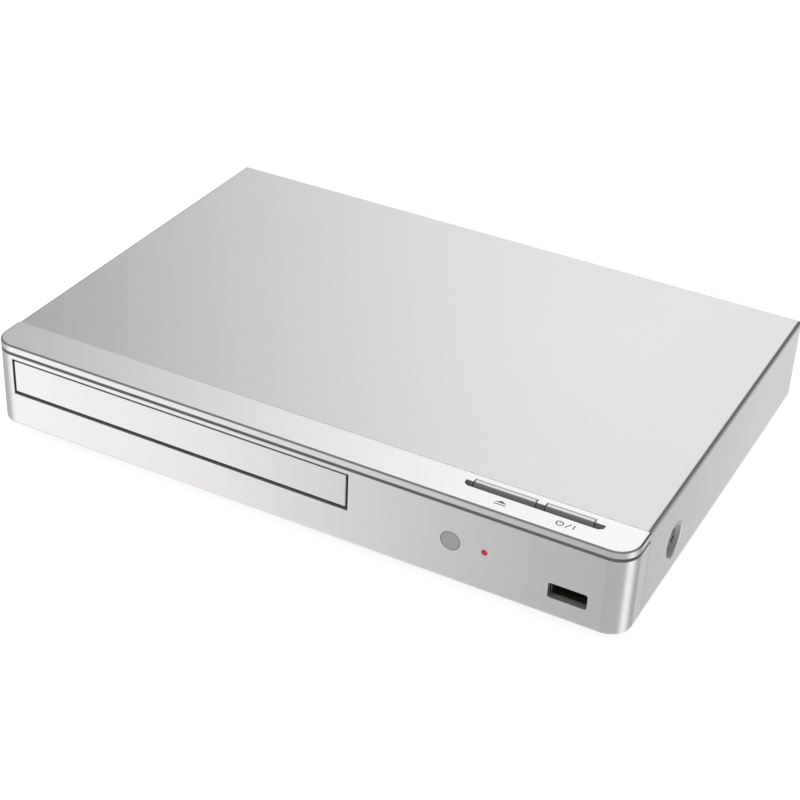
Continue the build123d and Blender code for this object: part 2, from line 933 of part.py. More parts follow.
def floor_vents():
    """Rows of slots under the main board."""
    x0 = middle(main_board_x) - (floor_vent_count - 1) * slot_vent_pitch / 2
    y0 = middle(main_board_y) - (floor_vent_rows - 1) * floor_vent_row_pitch / 2
    return [
        block(
            about(x0 + i * slot_vent_pitch, slot_vent_width),
            about(y0 + row * floor_vent_row_pitch, slot_vent_length),
            past((base_z, floor_z)),
        )
        for i in range(floor_vent_count)
        for row in range(floor_vent_rows)
    ]


def wall_vents():
    """A row of slots in the rear panel, behind the loader."""
    x0 = tray_x - (wall_vent_count - 1) * slot_vent_pitch / 2
    z = about(top_z - wall_vent_drop, wall_vent_length)
    return [
        block(about(x0 + i * slot_vent_pitch, slot_vent_width), past((wall_front_y, wall_rear_y)), z)
        for i in range(wall_vent_count)
    ]


def rear_holes():
    through = past((wall_front_y, wall_rear_y))
    inlet = inlet_face(inlet_rim + hole_margin)
    lan_tall = lan_mouth_height + lan_latch_height
    lan_z = board_top + lan_mouth_rise + lan_tall / 2
    lan_face = Rectangle(lan_mouth_width + 4 * hole_margin, lan_tall + 4 * hole_margin)
    holes = [
        front_cut(hdmi_x, board_top + hdmi_height / 2, hdmi_face(hole_margin), through),
        front_cut(lan_x, lan_z, lan_face, through),
        rod_along_y(coax_x, through, coax_z, coax_nose_radius + hole_margin),
        front_cut(inlet_x, inlet_z, inlet, through),
    ]
    return holes + [rod_along_y(x, through, rear_screw_z, screw_hole) for x in rear_screw_places]


def chassis_posts():
    """Places and tops of the posts that carry the loader and the boards."""
    places = [(x, y, lug_z[0]) for x, y in loader_lugs]
    places += [(x, y, board_z) for x, y in main_posts + power_posts]
    return places + [(x, y, front_board_top - board_thickness) for x, y in front_posts]


def bottom_chassis():
    """Floor with folded edges and posts, and the rear panel with its sockets and vents."""
    front = inner_face_y + seam_gap
    split = seam_y + tongue_depth + seam_gap
    nose_half = half_width - panel_wall - seam_gap
    nose = Pos(0, middle((front, split))) * Rectangle(2 * nose_half, split - front)
    nose = fillet(nose.vertices().group_by(Axis.Y)[0], panel_corner - panel_wall - seam_gap)
    z = (base_z, floor_z)
    full_x = (-chassis_half, chassis_half)
    back = block(full_x, (split, wall_rear_y), z)
    rear = block(full_x, (wall_front_y, wall_rear_y), (base_z, top_z - cover_sheet - seam_gap))
    sides = [
        block(
            on_side(side, chassis_half - chassis_sheet, chassis_half),
            (split, wall_rear_y),
            rising(base_z, flange_height),
        )
        for side in (-1, 1)
    ]
    front_x = (-half_width + front_flange_margin, half_width - front_flange_margin)
    fold = block(front_x, (front, front + chassis_sheet), (base_z, base_z + front_flange))
    posts = [post(x, y, (base_z, top), post_radius) for x, y, top in chassis_posts()]
    chassis = slab(nose, z) + [back, rear, fold] + sides + posts + [screw_tab(-1), screw_tab(1)]
    pilots = [post(x, y, past((base_z, top)), pilot_radius) for x, y, top in chassis_posts()]
    foot_holes = [post(x, y, past(z), foot_pin_radius + fit_gap) for x, y in feet]
    return chassis - (pilots + foot_holes + floor_vents() + wall_vents() + rear_holes())


def foot(x, y):
    """Turned foot with a recess for its pad, and a barbed pin up through the floor."""
    z = (pad_reach, base_z)
    cup = Pos(x, y, middle(z)) * Cone(foot_radius - foot_taper, foot_radius, length(z))
    cup -= post(x, y, (0, pad_thickness), pad_radius + fit_gap)
    pin_top = floor_z + fit_gap + foot_barb_height
    pin = post(x, y, (base_z, pin_top), foot_pin_radius)
    barb_z = (floor_z + fit_gap, pin_top)
    barb = Pos(x, y, middle(barb_z)) * Cone(foot_pin_radius + foot_barb, foot_pin_radius, length(barb_z))
    return cup + [pin, barb]


def foot_pad(x, y):
    return post(x, y, (0, pad_thickness), pad_radius)


def group(solids):
    return solids[0] + solids[1:]


def screw(place, turn, head_radius, shank):
    """Screw whose head stands on its place, with a crossed recess, its shank pointing down."""
    head = post(0, 0, (0, screw_head_height), head_radius)
    head = fillet(head.edges().sort_by(Axis.Z)[-1], screw_head_height / 2)
    recess_z = (screw_head_height - cross_depth, screw_head_height + cut_over)
    long = about(0, head_radius)
    thin = about(0, cross_width)
    head -= [block(long, thin, recess_z), block(thin, long, recess_z)]
    return place * turn * (head + post(0, 0, (-shank, 0), screw_radius))


def cover_screws():
    """Two screws in the side dimples and three along the back."""
    screws = []
    for side in (-1, 1):
        place = Pos(side * (dimple_inner + cover_sheet), dimple_y, dimple_z)
        screws.append(screw(place, Rot(0, side * 90, 0), side_head_radius, side_screw_length))
    for x in rear_screw_places:
        place = Pos(x, rear_y, rear_screw_z)
        screws.append(screw(place, Rot(-90, 0, 0), cover_head_radius, screw_length))
    return group(screws)


def inner_screws():
    """Screws of the boards, the loader and its bridge."""
    places = [(x, y, board_top) for x, y in main_posts + power_posts]
    places += [(x, y, front_board_top) for x, y in front_posts]
    places += [(x, y, lug_z[1]) for x, y in loader_lugs]
    places += [(x, y, frame_z[1] + bridge_sheet) for x, y in bridge_lugs]
    screws = [screw(Pos(*place), Rot(0, 0, 0), screw_head_radius, inner_screw_length) for place in places]
    for x in key_boss_x:
        place = Pos(x, stem_y, key_board_top - board_thickness)
        screws.append(screw(place, Rot(180, 0, 0), screw_head_radius, inner_screw_length))
    return group(screws)


# Boards and sockets
main_board_y = (wall_front_y - board_rear_gap - main_board_depth, wall_front_y - board_rear_gap)
power_right = screw_tab_x[0] - power_side_gap
power_board_x = (power_right - power_board_width, power_right)
power_board_y = (front_board_y[1] + power_front_gap, main_board_y[1])
main_board_x = (tray_x + frame_half_width + main_board_gap, power_board_x[0] - power_board_gap)
socket_widths = (lan_width, hdmi_width, coax_side)
socket_gap = (length(main_board_x) - sum(socket_widths)) / (len(socket_widths) + 1)
lan_x = main_board_x[0] + socket_gap + lan_width / 2
hdmi_x = lan_x + (lan_width + hdmi_width) / 2 + socket_gap
coax_x = hdmi_x + (hdmi_width + coax_side) / 2 + socket_gap
coax_z = board_top + coax_rise
inlet_x = middle(power_board_x)
inlet_z = board_top + inlet_rise
pin_places = about(inlet_x, pin_spacing)
chip_y = main_board_y[1] - chip_from_rear
chip_x = middle(main_board_x)
side_cable_y = main_board_y[0] + main_board_depth / 3
front_cable_x = middle((max(front_board_x[0], main_board_x[0]), min(front_board_x[1], main_board_x[1])))
front_cable_y = (front_board_y[1] - cable_socket_depth, main_board_y[0] + cable_socket_depth)


def board_posts(x, y, rear_inset):
    return [
        (across, along)
        for across in (x[0] + board_post_inset, x[1] - board_post_inset)
        for along in (y[0] + board_post_inset, y[1] - rear_inset)
    ]


main_posts = board_posts(main_board_x, main_board_y, lan_depth + 2 * board_post_inset)
power_posts = board_posts(power_board_x, power_board_y, inlet_depth + 2 * board_post_inset)


def board(x, y, posts):
    z = (board_z, board_top)
    return block(x, y, z) - [post(px, py, past(z), screw_hole) for px, py in posts]


def along_power_board(share):
    return power_board_y[0] + share * length(power_board_y)


def main_chip():
    side = chip_side
    return block(about(chip_x, side), about(chip_y, side), (board_top, board_top + chip_height))


def heat_sink():
    """Base plate with a row of upright fins."""
    foot_z = board_top + chip_height
    base = block(about(chip_x, sink_side), about(chip_y, sink_side), (foot_z, foot_z + sink_base))
    pitch = (sink_side - sink_fin) / (sink_fin_count - 1)
    start = chip_x - sink_side / 2 + sink_fin / 2
    fin_z = (foot_z + sink_base, foot_z + sink_height)
    fin_y = about(chip_y, sink_side)
    return base + [block(about(start + i * pitch, sink_fin), fin_y, fin_z) for i in range(sink_fin_count)]


def can(x, y, radius, height):
    """Upright capacitor with a rounded top."""
    body = post(x, y, (board_top, board_top + height), radius)
    return fillet(body.edges().sort_by(Axis.Z)[-1], bulk_round)


def capacitors():
    """Row of small ones on the main board, and a row and the bulk one on the power board."""
    small_x = main_board_x[1] - 2 * main_capacitor_radius
    small_y = chip_y + main_capacitor_pitch
    cans = [can(inlet_x, along_power_board(bulk_place_share), bulk_radius, bulk_height)]
    for i in range(main_capacitor_count):
        y = small_y - i * main_capacitor_pitch
        cans.append(can(small_x, y, main_capacitor_radius, main_capacitor_height))
    for share in output_place_shares:
        y = along_power_board(share)
        cans.append(can(inlet_x, y, output_capacitor_radius, output_capacitor_height))
    return group(cans)


def transformer_core():
    """Closed core with a middle leg, whose two windows the winding passes through."""
    y = about(along_power_board(core_place_share), core_depth)
    z = (board_top, board_top + core_height)
    core = block(about(inlet_x, core_width), y, z)
    hole = (core_width - 2 * core_leg - core_leg) / 2
    window_z = (z[0] + core_leg, z[1] - core_leg)
    offset = (core_leg + hole) / 2
    return core - [block(about(inlet_x + side * offset, hole), past(y), window_z) for side in (-1, 1)]


def transformer_winding():
    centre_y = along_power_board(core_place_share)
    hole = (core_width - 2 * core_leg - core_leg) / 2
    outer_x = core_leg + 2 * (hole - fit_gap)
    outer_y = core_depth + 2 * winding_bulge
    inner_y = core_depth + 2 * fit_gap
    plan = RectangleRounded(outer_x, outer_y, winding_bulge) - Rectangle(core_leg + 2 * fit_gap, inner_y)
    z = (board_top + core_leg + fit_gap, board_top + core_height - core_leg - fit_gap)
    return slab(Pos(inlet_x, centre_y) * plan, z)


def inlet_face(margin):
    return SlotOverall(inlet_mouth_width + 2 * margin, inlet_mouth_height + 2 * margin)


def mains_inlet():
    y = (socket_y - inlet_depth, socket_y)
    body = block(about(inlet_x, inlet_width), (y[0], wall_front_y), (board_top, board_top + inlet_height))
    body += front_cut(inlet_x, inlet_z, inlet_face(inlet_rim), (middle(y), socket_y))
    root = socket_y - inlet_mouth_depth
    body -= front_cut(inlet_x, inlet_z, inlet_face(0), (root, socket_y + cut_over))
    seat_y = (root - pin_root, root + cut_over)
    return body - [rod_along_y(x, seat_y, inlet_z, pin_radius) for x in pin_places]


def mains_pins():
    root = socket_y - inlet_mouth_depth
    y = (root - pin_root, root + pin_length)
    return group([rod_along_y(x, y, inlet_z, pin_radius) for x in pin_places])


def hdmi_face(margin):
    """Outline of the socket: a rectangle with its two lower corners cut away."""
    face = Rectangle(hdmi_width + 2 * margin, hdmi_height + 2 * margin)
    return chamfer(face.vertices().group_by(Axis.Y)[0], hdmi_chamfer)


def hdmi_shell():
    y = (socket_y - hdmi_depth, socket_y)
    z = board_top + hdmi_height / 2
    shell = front_cut(hdmi_x, z, hdmi_face(0), y)
    return shell - front_cut(hdmi_x, z, hdmi_face(-hdmi_sheet), (y[0] + hdmi_sheet, y[1] + cut_over))


def hdmi_tongue():
    back = socket_y - hdmi_depth + hdmi_sheet
    z = board_top + hdmi_height / 2
    blade_x = about(hdmi_x, hdmi_tongue_width)
    blade = block(blade_x, (back, socket_y - hdmi_tongue_back), about(z, hdmi_tongue_thickness))
    body = front_cut(hdmi_x, z, hdmi_face(-hdmi_sheet - fit_gap), (back, back + hdmi_insulator_depth))
    return blade + body


def lan_jack():
    """Network socket with the notch for its plug's latch."""
    z = (board_top, board_top + lan_height)
    body = block(about(lan_x, lan_width), (socket_y - lan_depth, wall_front_y), z)
    rim_z = (z[0] + lan_mouth_rise, z[0] + lan_mouth_rise + lan_mouth_height + lan_latch_height)
    rim_x = about(lan_x, lan_mouth_width + 2 * hole_margin)
    rim = block(rim_x, (wall_front_y, socket_y), past(rim_z, hole_margin, hole_margin))
    mouth_y = (socket_y - lan_mouth_depth, socket_y + cut_over)
    mouth_z = (rim_z[0] + lan_latch_height, rim_z[1])
    mouth = block(about(lan_x, lan_mouth_width), mouth_y, mouth_z)
    latch = block(about(lan_x, lan_latch_width), mouth_y, (rim_z[0], mouth_z[0]))
    return body + rim - [mouth, latch]


def coax_jack():
    """Insulator with a round nose through the rear panel and a core inside the barrel."""
    body_y = (wall_front_y - coax_depth, wall_front_y)
    body = block(about(coax_x, coax_side), body_y, (board_top, board_top + coax_height))
    body += rod_along_y(coax_x, (wall_front_y, socket_y), coax_z, coax_nose_radius)
    groove = (socket_y - barrel_root, socket_y + cut_over)
    body -= rod_along_y(coax_x, groove, coax_z, barrel_root_radius + fit_gap)
    inner = barrel_radius - barrel_wall - fit_gap
    tip = rear_y + barrel_reach - core_recess
    core = rod_along_y(coax_x, (groove[0], tip), coax_z, inner)
    return body + core - rod_along_y(coax_x, past((socket_y, tip)), coax_z, core_bore_radius)


def coax_barrel():
    """Tube that a plug slides over, with a thinner root held in the insulator."""
    y = (socket_y - barrel_root, rear_y + barrel_reach)
    tube = rod_along_y(coax_x, (socket_y, y[1]), coax_z, barrel_radius)
    tube += rod_along_y(coax_x, (y[0], socket_y), coax_z, barrel_root_radius)
    return tube - rod_along_y(coax_x, past(y), coax_z, barrel_radius - barrel_wall)


def cable_socket(x, y, z):
    return block(about(x, cable_socket_width), about(y, cable_socket_depth), (z, z + cable_socket_height))


def cable_sockets():
    """Sockets of the two flat cables: on both boards and on the loader's side."""
    turned = block(
        about(main_board_x[0] + cable_socket_depth, cable_socket_depth),
        about(side_cable_y, cable_socket_width),
        (board_top, board_top + cable_socket_height),
    )
    side_x = tray_x + frame_half_width
    on_wall = block(
        (side_x, side_x + cable_socket_height),
        about(side_cable_y, cable_socket_width),
        about(board_top + ribbon_arch, cable_socket_depth),
    )
    front = cable_socket(front_cable_x, front_cable_y[0], front_board_top)
    return group([front, cable_socket(front_cable_x, front_cable_y[1], board_top), turned, on_wall])


def ribbon(points):
    """Outline of a flat cable seen from its edge, along points on its underside."""
    upper = [(along, z + ribbon_thickness) for along, z in reversed(points)]
    return Polygon(*points, *upper, align=None)


def front_cable():
    y0, y1 = front_cable_y
    low = front_board_top + cable_socket_height
    end = board_top + cable_socket_height
    rise = ribbon_arch
    points = [(y0, low), (y0 + rise, low + rise), (y1 - rise, end + rise), (y1, end)]
    strip = Rot(90, 0, 0) * extrude(ribbon(points), ribbon_width / 2, both=True)
    return Pos(front_cable_x, 0, 0) * Rot(0, 0, 90) * strip


def loader_cable():
    start = tray_x + frame_half_width + cable_socket_height
    end = main_board_x[0] + cable_socket_depth
    high = board_top + ribbon_arch
    points = [(start, high), (middle((start, end)), high), (end, board_top + cable_socket_height)]
    return front_cut(0, 0, ribbon(points), about(side_cable_y, ribbon_width))


# Tray and its drive
def gear_face(teeth, phase):
    """Involute gear, its first tooth at an angle of phase degrees, each flank one arc."""
    pitch = gear_module * teeth / 2
    base = pitch * math.cos(math.radians(pressure_angle))
    tip = pitch + gear_module * addendum_share
    root = pitch - gear_module * dedendum_share

    def involute(radius):
        angle = math.acos(min(1, base / radius))
        return math.tan(angle) - angle

    def half_tooth(radius):
        return math.pi / (2 * teeth) - backlash / (2 * pitch) + involute(pitch) - involute(radius)

    def at(radius, angle):
        return (radius * math.cos(angle), radius * math.sin(angle))

    foot = max(base, root)
    waist = (foot + tip) / 2
    edges = []
    for i in range(teeth):
        mid = math.radians(phase) + 2 * math.pi * i / teeth
        after = mid + 2 * math.pi / teeth
        low, half, high = half_tooth(foot), half_tooth(waist), half_tooth(tip)
        edges.append(Line(at(root, mid - low), at(foot, mid - low)))
        edges.append(ThreePointArc(at(foot, mid - low), at(waist, mid - half), at(tip, mid - high)))
        edges.append(Line(at(tip, mid - high), at(tip, mid + high)))
        edges.append(ThreePointArc(at(tip, mid + high), at(waist, mid + half), at(foot, mid + low)))
        edges.append(Line(at(foot, mid + low), at(root, mid + low)))
        edges.append(Line(at(root, mid + low), at(root, after - low)))
    return make_face(Wire(edges))


def tray_rack():
    """Bar of the rack, its teeth pointing to the tray's middle."""
    pitch = math.pi * gear_module
    lean = math.tan(math.radians(pressure_angle))
    out = gear_module * addendum_share
    down = gear_module * dedendum_share
    half = pitch / 4 - backlash / 2
    points = [(rack_x + rack_back + down, rack_y[1]), (rack_x + rack_back + down, rack_y[0])]
    points.append((rack_x + down, rack_y[0]))
    first = math.ceil((rack_y[0] - drive_gear_y) / pitch)
    last = math.floor((rack_y[1] - drive_gear_y) / pitch)
    for i in range(first, last):
        y = drive_gear_y + (i + 1 / 2) * pitch
        points.append((rack_x + down, y - half - down * lean))
        points.append((rack_x - out, y - half + out * lean))
        points.append((rack_x - out, y + half - out * lean))
        points.append((rack_x + down, y + half + down * lean))
    points.append((rack_x + down, rack_y[1]))
    return slab(Polygon(*points, align=None), rack_z)


def tray_guide():
    """Ribs under the tray that hold the cam slider's post until the tray is home."""
    half = cam_post_radius + guide_play
    z = (tray_under - guide_rib_height, tray_under)
    shift = cam_shift
    ends = (cam_post_y - half - guide_rib, tray_rear_y)
    outer = block((cam_post_x - half - guide_rib, cam_post_x - half), ends, z)
    inner = block((cam_post_x + half, cam_post_x + half + guide_rib), (cam_post_y + half, ends[1]), z)
    turn_x = (cam_post_x - half, cam_post_x + shift + half)
    ahead = block(turn_x, (ends[0], cam_post_y - half), z)
    behind = block((cam_post_x + half, turn_x[1]), (cam_post_y + half, cam_post_y + half + guide_rib), z)
    return [outer, inner, ahead, behind]


def disc_tray():
    """Tray with seats for two sizes of disc, long runners, rack and guide ribs."""
    x = about(tray_x, 2 * tray_half_width)
    y = (tray_front_y, tray_rear_y)
    plate = block(x, y, (tray_under, rim_top))
    plate = fillet(plate.edges().filter_by(Axis.Y).group_by(Axis.Z)[-1], tray_edge_round)
    runner_x = (tray_x + runner_half - arm_width, tray_x + runner_half)
    runner = block(runner_x, (y[0] + tray_face_wall, arm_rear_y), runner_z)
    face_z = rising(runner_z[0], tray_face_height)
    face = block(about(tray_x, 2 * runner_half), rising(y[0], tray_face_wall), face_z)
    tray = plate + mirrored(runner) + [face, tray_rack()] + tray_guide()
    up = rim_top + cut_over
    cuts = [
        post(tray_x, disc_y, (seat_z, up), recess_radius),
        post(tray_x, disc_y, (small_seat_z, up), small_disc_radius + recess_margin),
        post(tray_x, disc_y, (tray_under - cut_over, up), hub_radius),
        block(about(tray_x, tray_slot_width), (disc_y, y[1] + cut_over), (tray_under - cut_over, up)),
    ]
    for side in (-1, 1):
        angle = math.radians(-90 + side * finger_angle)
        place = (tray_x + recess_radius * math.cos(angle), disc_y + recess_radius * math.sin(angle))
        cuts.append(post(*place, (small_seat_z, up), finger_radius))
    return tray - (cuts + clips(fit_gap))


def axle_bore(x, y, z):
    return post(x, y, past(z), gear_axle_radius + shaft_gap)


def drive_gear():
    """Gear that moves the rack, on a hub that stands on the loader's deck."""
    teeth = Pos(drive_gear_x, drive_gear_y) * gear_face(drive_teeth, 0)
    hub_z = (deck_top + run_gap, gear_z[1])
    gear = slab(teeth, gear_z)
    rim = drive_radius - gear_module * dedendum_share - gear_web
    gear -= post(drive_gear_x, drive_gear_y, (gear_z[0] + gear_web, gear_z[1] + cut_over), rim)
    gear += post(drive_gear_x, drive_gear_y, hub_z, gear_hub_radius)
    return gear - axle_bore(drive_gear_x, drive_gear_y, hub_z)


def grooved_wheel(x, y, z, radius):
    """Belt wheel with a square groove round its rim."""
    groove_z = about(middle(z), belt_side + 2 * fit_gap)
    ring = post(x, y, groove_z, radius + cut_over) - post(x, y, groove_z, radius - pulley_groove)
    return post(x, y, z, radius) - ring


def pulley_gear():
    """Belt wheel with a pinion on top that meshes with the drive gear."""
    gap_phase = mesh_angle + 180 + 180 / pinion_teeth
    pinion = slab(Pos(pulley_x, pulley_y) * gear_face(pinion_teeth, gap_phase), (pulley_z[1], gear_z[1]))
    wheel = grooved_wheel(pulley_x, pulley_y, pulley_z, pulley_radius)
    hub_z = (deck_top + run_gap, pulley_z[0])
    hub = post(pulley_x, pulley_y, hub_z, gear_hub_radius)
    return wheel + [pinion, hub] - axle_bore(pulley_x, pulley_y, (hub_z[0], gear_z[1]))


def motor_pulley():
    """Belt wheel on the loading motor's shaft."""
    shaft = post(motor_x, motor_y, (deck_top - motor_shaft_sink, pulley_z[1]), motor_shaft_radius)
    return grooved_wheel(motor_x, motor_y, pulley_z, motor_pulley_radius) + shaft


def loading_motor():
    """Flat motor hung in the deck by the flange at its top."""
    body = post(motor_x, motor_y, (deck_top - motor_depth, deck_top), motor_radius)
    flange_z = (deck_top, deck_top + motor_flange_thickness)
    body += post(motor_x, motor_y, flange_z, motor_radius + motor_flange)
    well = (deck_top - motor_shaft_sink - run_gap, flange_z[1] + cut_over)
    return body - post(motor_x, motor_y, well, motor_shaft_radius + shaft_gap)


def belt_loop(extra):
    """Outline round both belt wheels, outside their grooves by an extra."""
    wheels = ((pulley_x, pulley_y, pulley_radius), (motor_x, motor_y, motor_pulley_radius))
    rounds = [Pos(x, y) * Circle(radius - pulley_groove + extra) for x, y, radius in wheels]
    return make_hull([edge for circle in rounds for edge in circle.edges()])


def drive_belt():
    return slab(belt_loop(fit_gap + belt_side) - belt_loop(fit_gap), about(middle(pulley_z), belt_side))


# Loader frame and clamp
def frame_side():
    """Right wall of the loader with its rail, hold-down tabs and lugs."""
    x = (tray_x + frame_inner, tray_x + frame_half_width)
    y = (loader_front_y, loader_rear_y)
    pieces = [block((x[0] - rail_width, x[0]), y, (rail_top - rail_height, rail_top))]
    tab_z = (runner_z[1] + run_gap, runner_z[1] + run_gap + tab_thickness)
    tab_x = (tray_x + tray_half_width + 2 * run_gap, x[0])
    for share in tab_place_shares:
        start = y[0] + share * length(y)
        pieces.append(block(tab_x, (start, start + tab_length), tab_z))
    lug_x = (x[1], x[1] + lug_width)
    for lug_y in (loader_front_y + lug_front, loader_rear_y - lug_rear):
        pieces.append(block(lug_x, about(lug_y, lug_length), lug_z))
    for end in (-1, 1):
        lug_y = disc_y + end * bridge_foot_spread / 2
        pieces.append(block(lug_x, about(lug_y, lug_length), (frame_z[1] - bridge_lug_height, frame_z[1])))
    return block(x, y, frame_z) + pieces


def hinge_bracket():
    """Bracket on the rear wall that holds one hinge pin of the lift frame."""
    x = rising(tray_x + lift_half_width + hinge_side_gap, bracket_width)
    y = (hinge_y - bracket_margin, loader_rear_y)
    bracket = block(x, y, about(hinge_z, 2 * bracket_margin))
    return bracket - rod_along_x(past(x), hinge_y, hinge_z, hinge_pin_radius + shaft_gap)


def cam_hook(x):
    """Hook on the deck that keeps the cam slider's foot down."""
    foot_top = deck_top + run_gap + cam_foot_thickness
    top = foot_top + run_gap + hook_wall
    stem_y = cam_foot_y - run_gap
    wide = about(x, hook_length)
    stem = block(wide, (stem_y - hook_wall, stem_y), (deck_top, top))
    return stem + block(wide, (stem_y, cam_foot_y + hook_lip), (foot_top + run_gap, top))


def loader_deck():
    """Front deck with a folded rear lip, gear axles, the motor's hole and the cam's hooks."""
    x = (tray_x - frame_inner, tray_x + frame_inner)
    deck_z = (deck_top - deck_thickness, deck_top)
    deck = block(x, (loader_front_y, deck_rear_y), deck_z)
    lip = block(x, (deck_rear_y - frame_wall, deck_rear_y), (deck_z[0] - deck_lip, deck_z[0]))
    front = block(x, (loader_front_y, loader_front_y + frame_wall), (frame_z[0], deck_z[0]))
    axles = [
        post(px, py, (deck_top, gear_z[1]), gear_axle_radius)
        for px, py in ((drive_gear_x, drive_gear_y), (pulley_x, pulley_y))
    ]
    hooks = [cam_hook(cam_x[0] + hook_length), cam_hook(cam_x[1] + hook_length / 2)]
    deck = deck + [lip, front] + axles + hooks
    return deck - post(motor_x, motor_y, past(deck_z), motor_radius + fit_gap)


def loader_frame():
    x = (tray_x - frame_inner, tray_x + frame_inner)
    rear_z = (frame_z[0], frame_z[0] + rear_wall_height)
    rear = block(x, (loader_rear_y - frame_wall, loader_rear_y), rear_z)
    frame = loader_deck() + mirrored(frame_side()) + [rear] + mirrored(hinge_bracket())
    bridge_lug_z = past((frame_z[1] - bridge_lug_height, frame_z[1]))
    holes = [post(px, py, past(lug_z), screw_hole) for px, py in loader_lugs]
    holes += [post(px, py, bridge_lug_z, screw_hole) for px, py in bridge_lugs]
    return frame - holes


def clamp_bridge():
    """Pressed bridge over the tray, on four feet, with a hole that the clamper hangs in."""
    half = frame_half_width
    z = (bridge_z, bridge_z + bridge_sheet)
    span = block(about(tray_x, 2 * half), about(disc_y, bridge_width), z)
    leg_x = (tray_x + half - bridge_sheet, tray_x + half)
    leg = block(leg_x, about(disc_y, bridge_width), (frame_z[1], z[0]))
    feet_x = (leg_x[0], leg_x[1] + lug_width)
    foot_z = rising(frame_z[1], bridge_sheet)
    bridge = span + mirrored(leg)
    for end in (-1, 1):
        foot = block(feet_x, about(disc_y + end * bridge_foot_spread / 2, bridge_foot), foot_z)
        bridge = bridge + mirrored(foot)
        rib_y = about(disc_y + end * (bridge_width - bridge_rib_width) / 2, bridge_rib_width)
        rib_x = about(tray_x, 2 * (half - bridge_foot))
        bridge += block(rib_x, rib_y, (z[1], z[1] + bridge_rib))
    holes = [post(px, py, past(foot_z), screw_hole) for px, py in bridge_lugs]
    return bridge - (holes + [post(tray_x, disc_y, past(z), clamper_neck + clamper_side_gap)])


def clamper():
    """Puck that hangs by its upper flange and has a recess for the turntable's cone."""
    lower = (clamper_z, clamper_z + clamper_height)
    seat = bridge_z + bridge_sheet + fit_gap
    flange_z = (seat, seat + clamper_flange_height)
    puck = post(tray_x, disc_y, lower, clamper_radius)
    puck += post(tray_x, disc_y, (lower[1], flange_z[0]), clamper_neck)
    puck += post(tray_x, disc_y, flange_z, clamper_flange)
    rim_z = (flange_z[1], flange_z[1] + clamper_rim_height)
    rim = post(tray_x, disc_y, rim_z, clamper_neck)
    rim -= post(tray_x, disc_y, past(rim_z), clamper_neck - clamper_rim)
    recess = post(tray_x, disc_y, (clamper_z - cut_over, lower[1] + clamper_float), clamper_recess)
    return puck + rim - recess


def clamp_yoke():
    floor = bridge_z + bridge_sheet + fit_gap + clamper_flange_height
    return post(tray_x, disc_y, (floor, floor + yoke_thickness), clamper_neck - clamper_rim - fit_gap)


# Lift: drawn with the frame raised, then lowered about the hinge for the resting place
def at_rest(shape):
    return shape.rotate(lowered, lift_angle)


def cam_slider():
    """Slider whose sloped slot lifts the frame's pin, with a foot on the deck and a post."""
    low_z = cam_pin_z - cam_drop
    z = (floor_z + run_gap, cam_pin_z + cam_pin_radius + 4 * cam_slack)
    wall = block(cam_x, cam_y, z)
    slope = math.hypot(cam_shift, cam_drop)
    angle = math.degrees(math.atan2(cam_drop, cam_shift))
    slot = Rot(0, 0, -angle) * SlotCenterToCenter(slope, 2 * (cam_pin_radius + cam_slack))
    wall -= front_cut(cam_pin_x - cam_shift / 2, (low_z + cam_pin_z) / 2, slot, past(cam_y))
    foot_z = (deck_top + run_gap, deck_top + run_gap + cam_foot_thickness)
    foot_x = (cam_x[0] - cam_foot_left, cam_x[1])
    foot = block(foot_x, (cam_foot_y, cam_y[0]), foot_z)
    pin = post(cam_post_x, cam_post_y, (foot_z[1], foot_z[1] + cam_post_height), cam_post_radius)
    return wall + [foot, pin]


def lift_frame():
    """Frame round the traverse, with hinge pins at the back and the cam pin in front."""
    y = (lift_front_y, hinge_y + lift_rear_bar / 2)
    side_x = (tray_x + lift_half_width - lift_bar, tray_x + lift_half_width)
    side = block(side_x, y, lift_z)
    front = block(about(tray_x, 2 * lift_half_width), (y[0], y[0] + lift_front_bar), lift_z)
    rear_z = (play_z - lift_rear_drop, play_z - lift_rear_drop + lift_rear_height)
    rear = block(about(tray_x, 2 * lift_half_width), about(hinge_y, lift_rear_bar), rear_z)
    pin_x = (side_x[0], side_x[1] + hinge_pin_length)
    pin = rod_along_x(pin_x, hinge_y, hinge_z, hinge_pin_radius)
    cam_pin = rod_along_y(cam_pin_x, (cam_y[0] + run_gap, y[0]), cam_pin_z, cam_pin_radius)
    lug_x = (tray_x + damper_from_middle - damper_lug / 2, side_x[0])
    lug_z = (plate_z[1] + damper_height, lift_z[1])
    lugs = []
    for lug_y in damper_ends:
        lugs += mirrored(block(lug_x, about(lug_y, damper_lug), lug_z))
    frame = front + mirrored(side) + [rear, cam_pin] + mirrored(pin) + lugs
    return frame - [post(px, py, past(lift_z), screw_hole) for px, py in dampers]


def damper_bushes():
    z = (plate_z[1], plate_z[1] + damper_height)
    holes = [post(x, y, past(z), screw_hole) for x, y in dampers]
    return group([post(x, y, z, damper_radius) for x, y in dampers]) - holes


def damper_screws():
    shank = lift_z[1] - plate_z[0]
    turn = Rot(180, 0, 0)
    return group([screw(Pos(x, y, plate_z[0]), turn, damper_screw_head, shank) for x, y in dampers])


def rod_tabs():
    """Tabs of the plate that hold the guide rods and the end of the lead screw."""
    spans = (rising(rod_y[0], rod_tab), rising(rod_y[1] - rod_tab, rod_tab))
    z = rising(plate_z[1], rod_tab_height)
    tabs = [block(about(x, rod_tab_width), y, z) for x in rod_places for y in spans]
    bearing_z = rising(plate_z[1], screw_bearing_height)
    return tabs + [block(about(feed_x, screw_bearing_width), spans[1], bearing_z)]


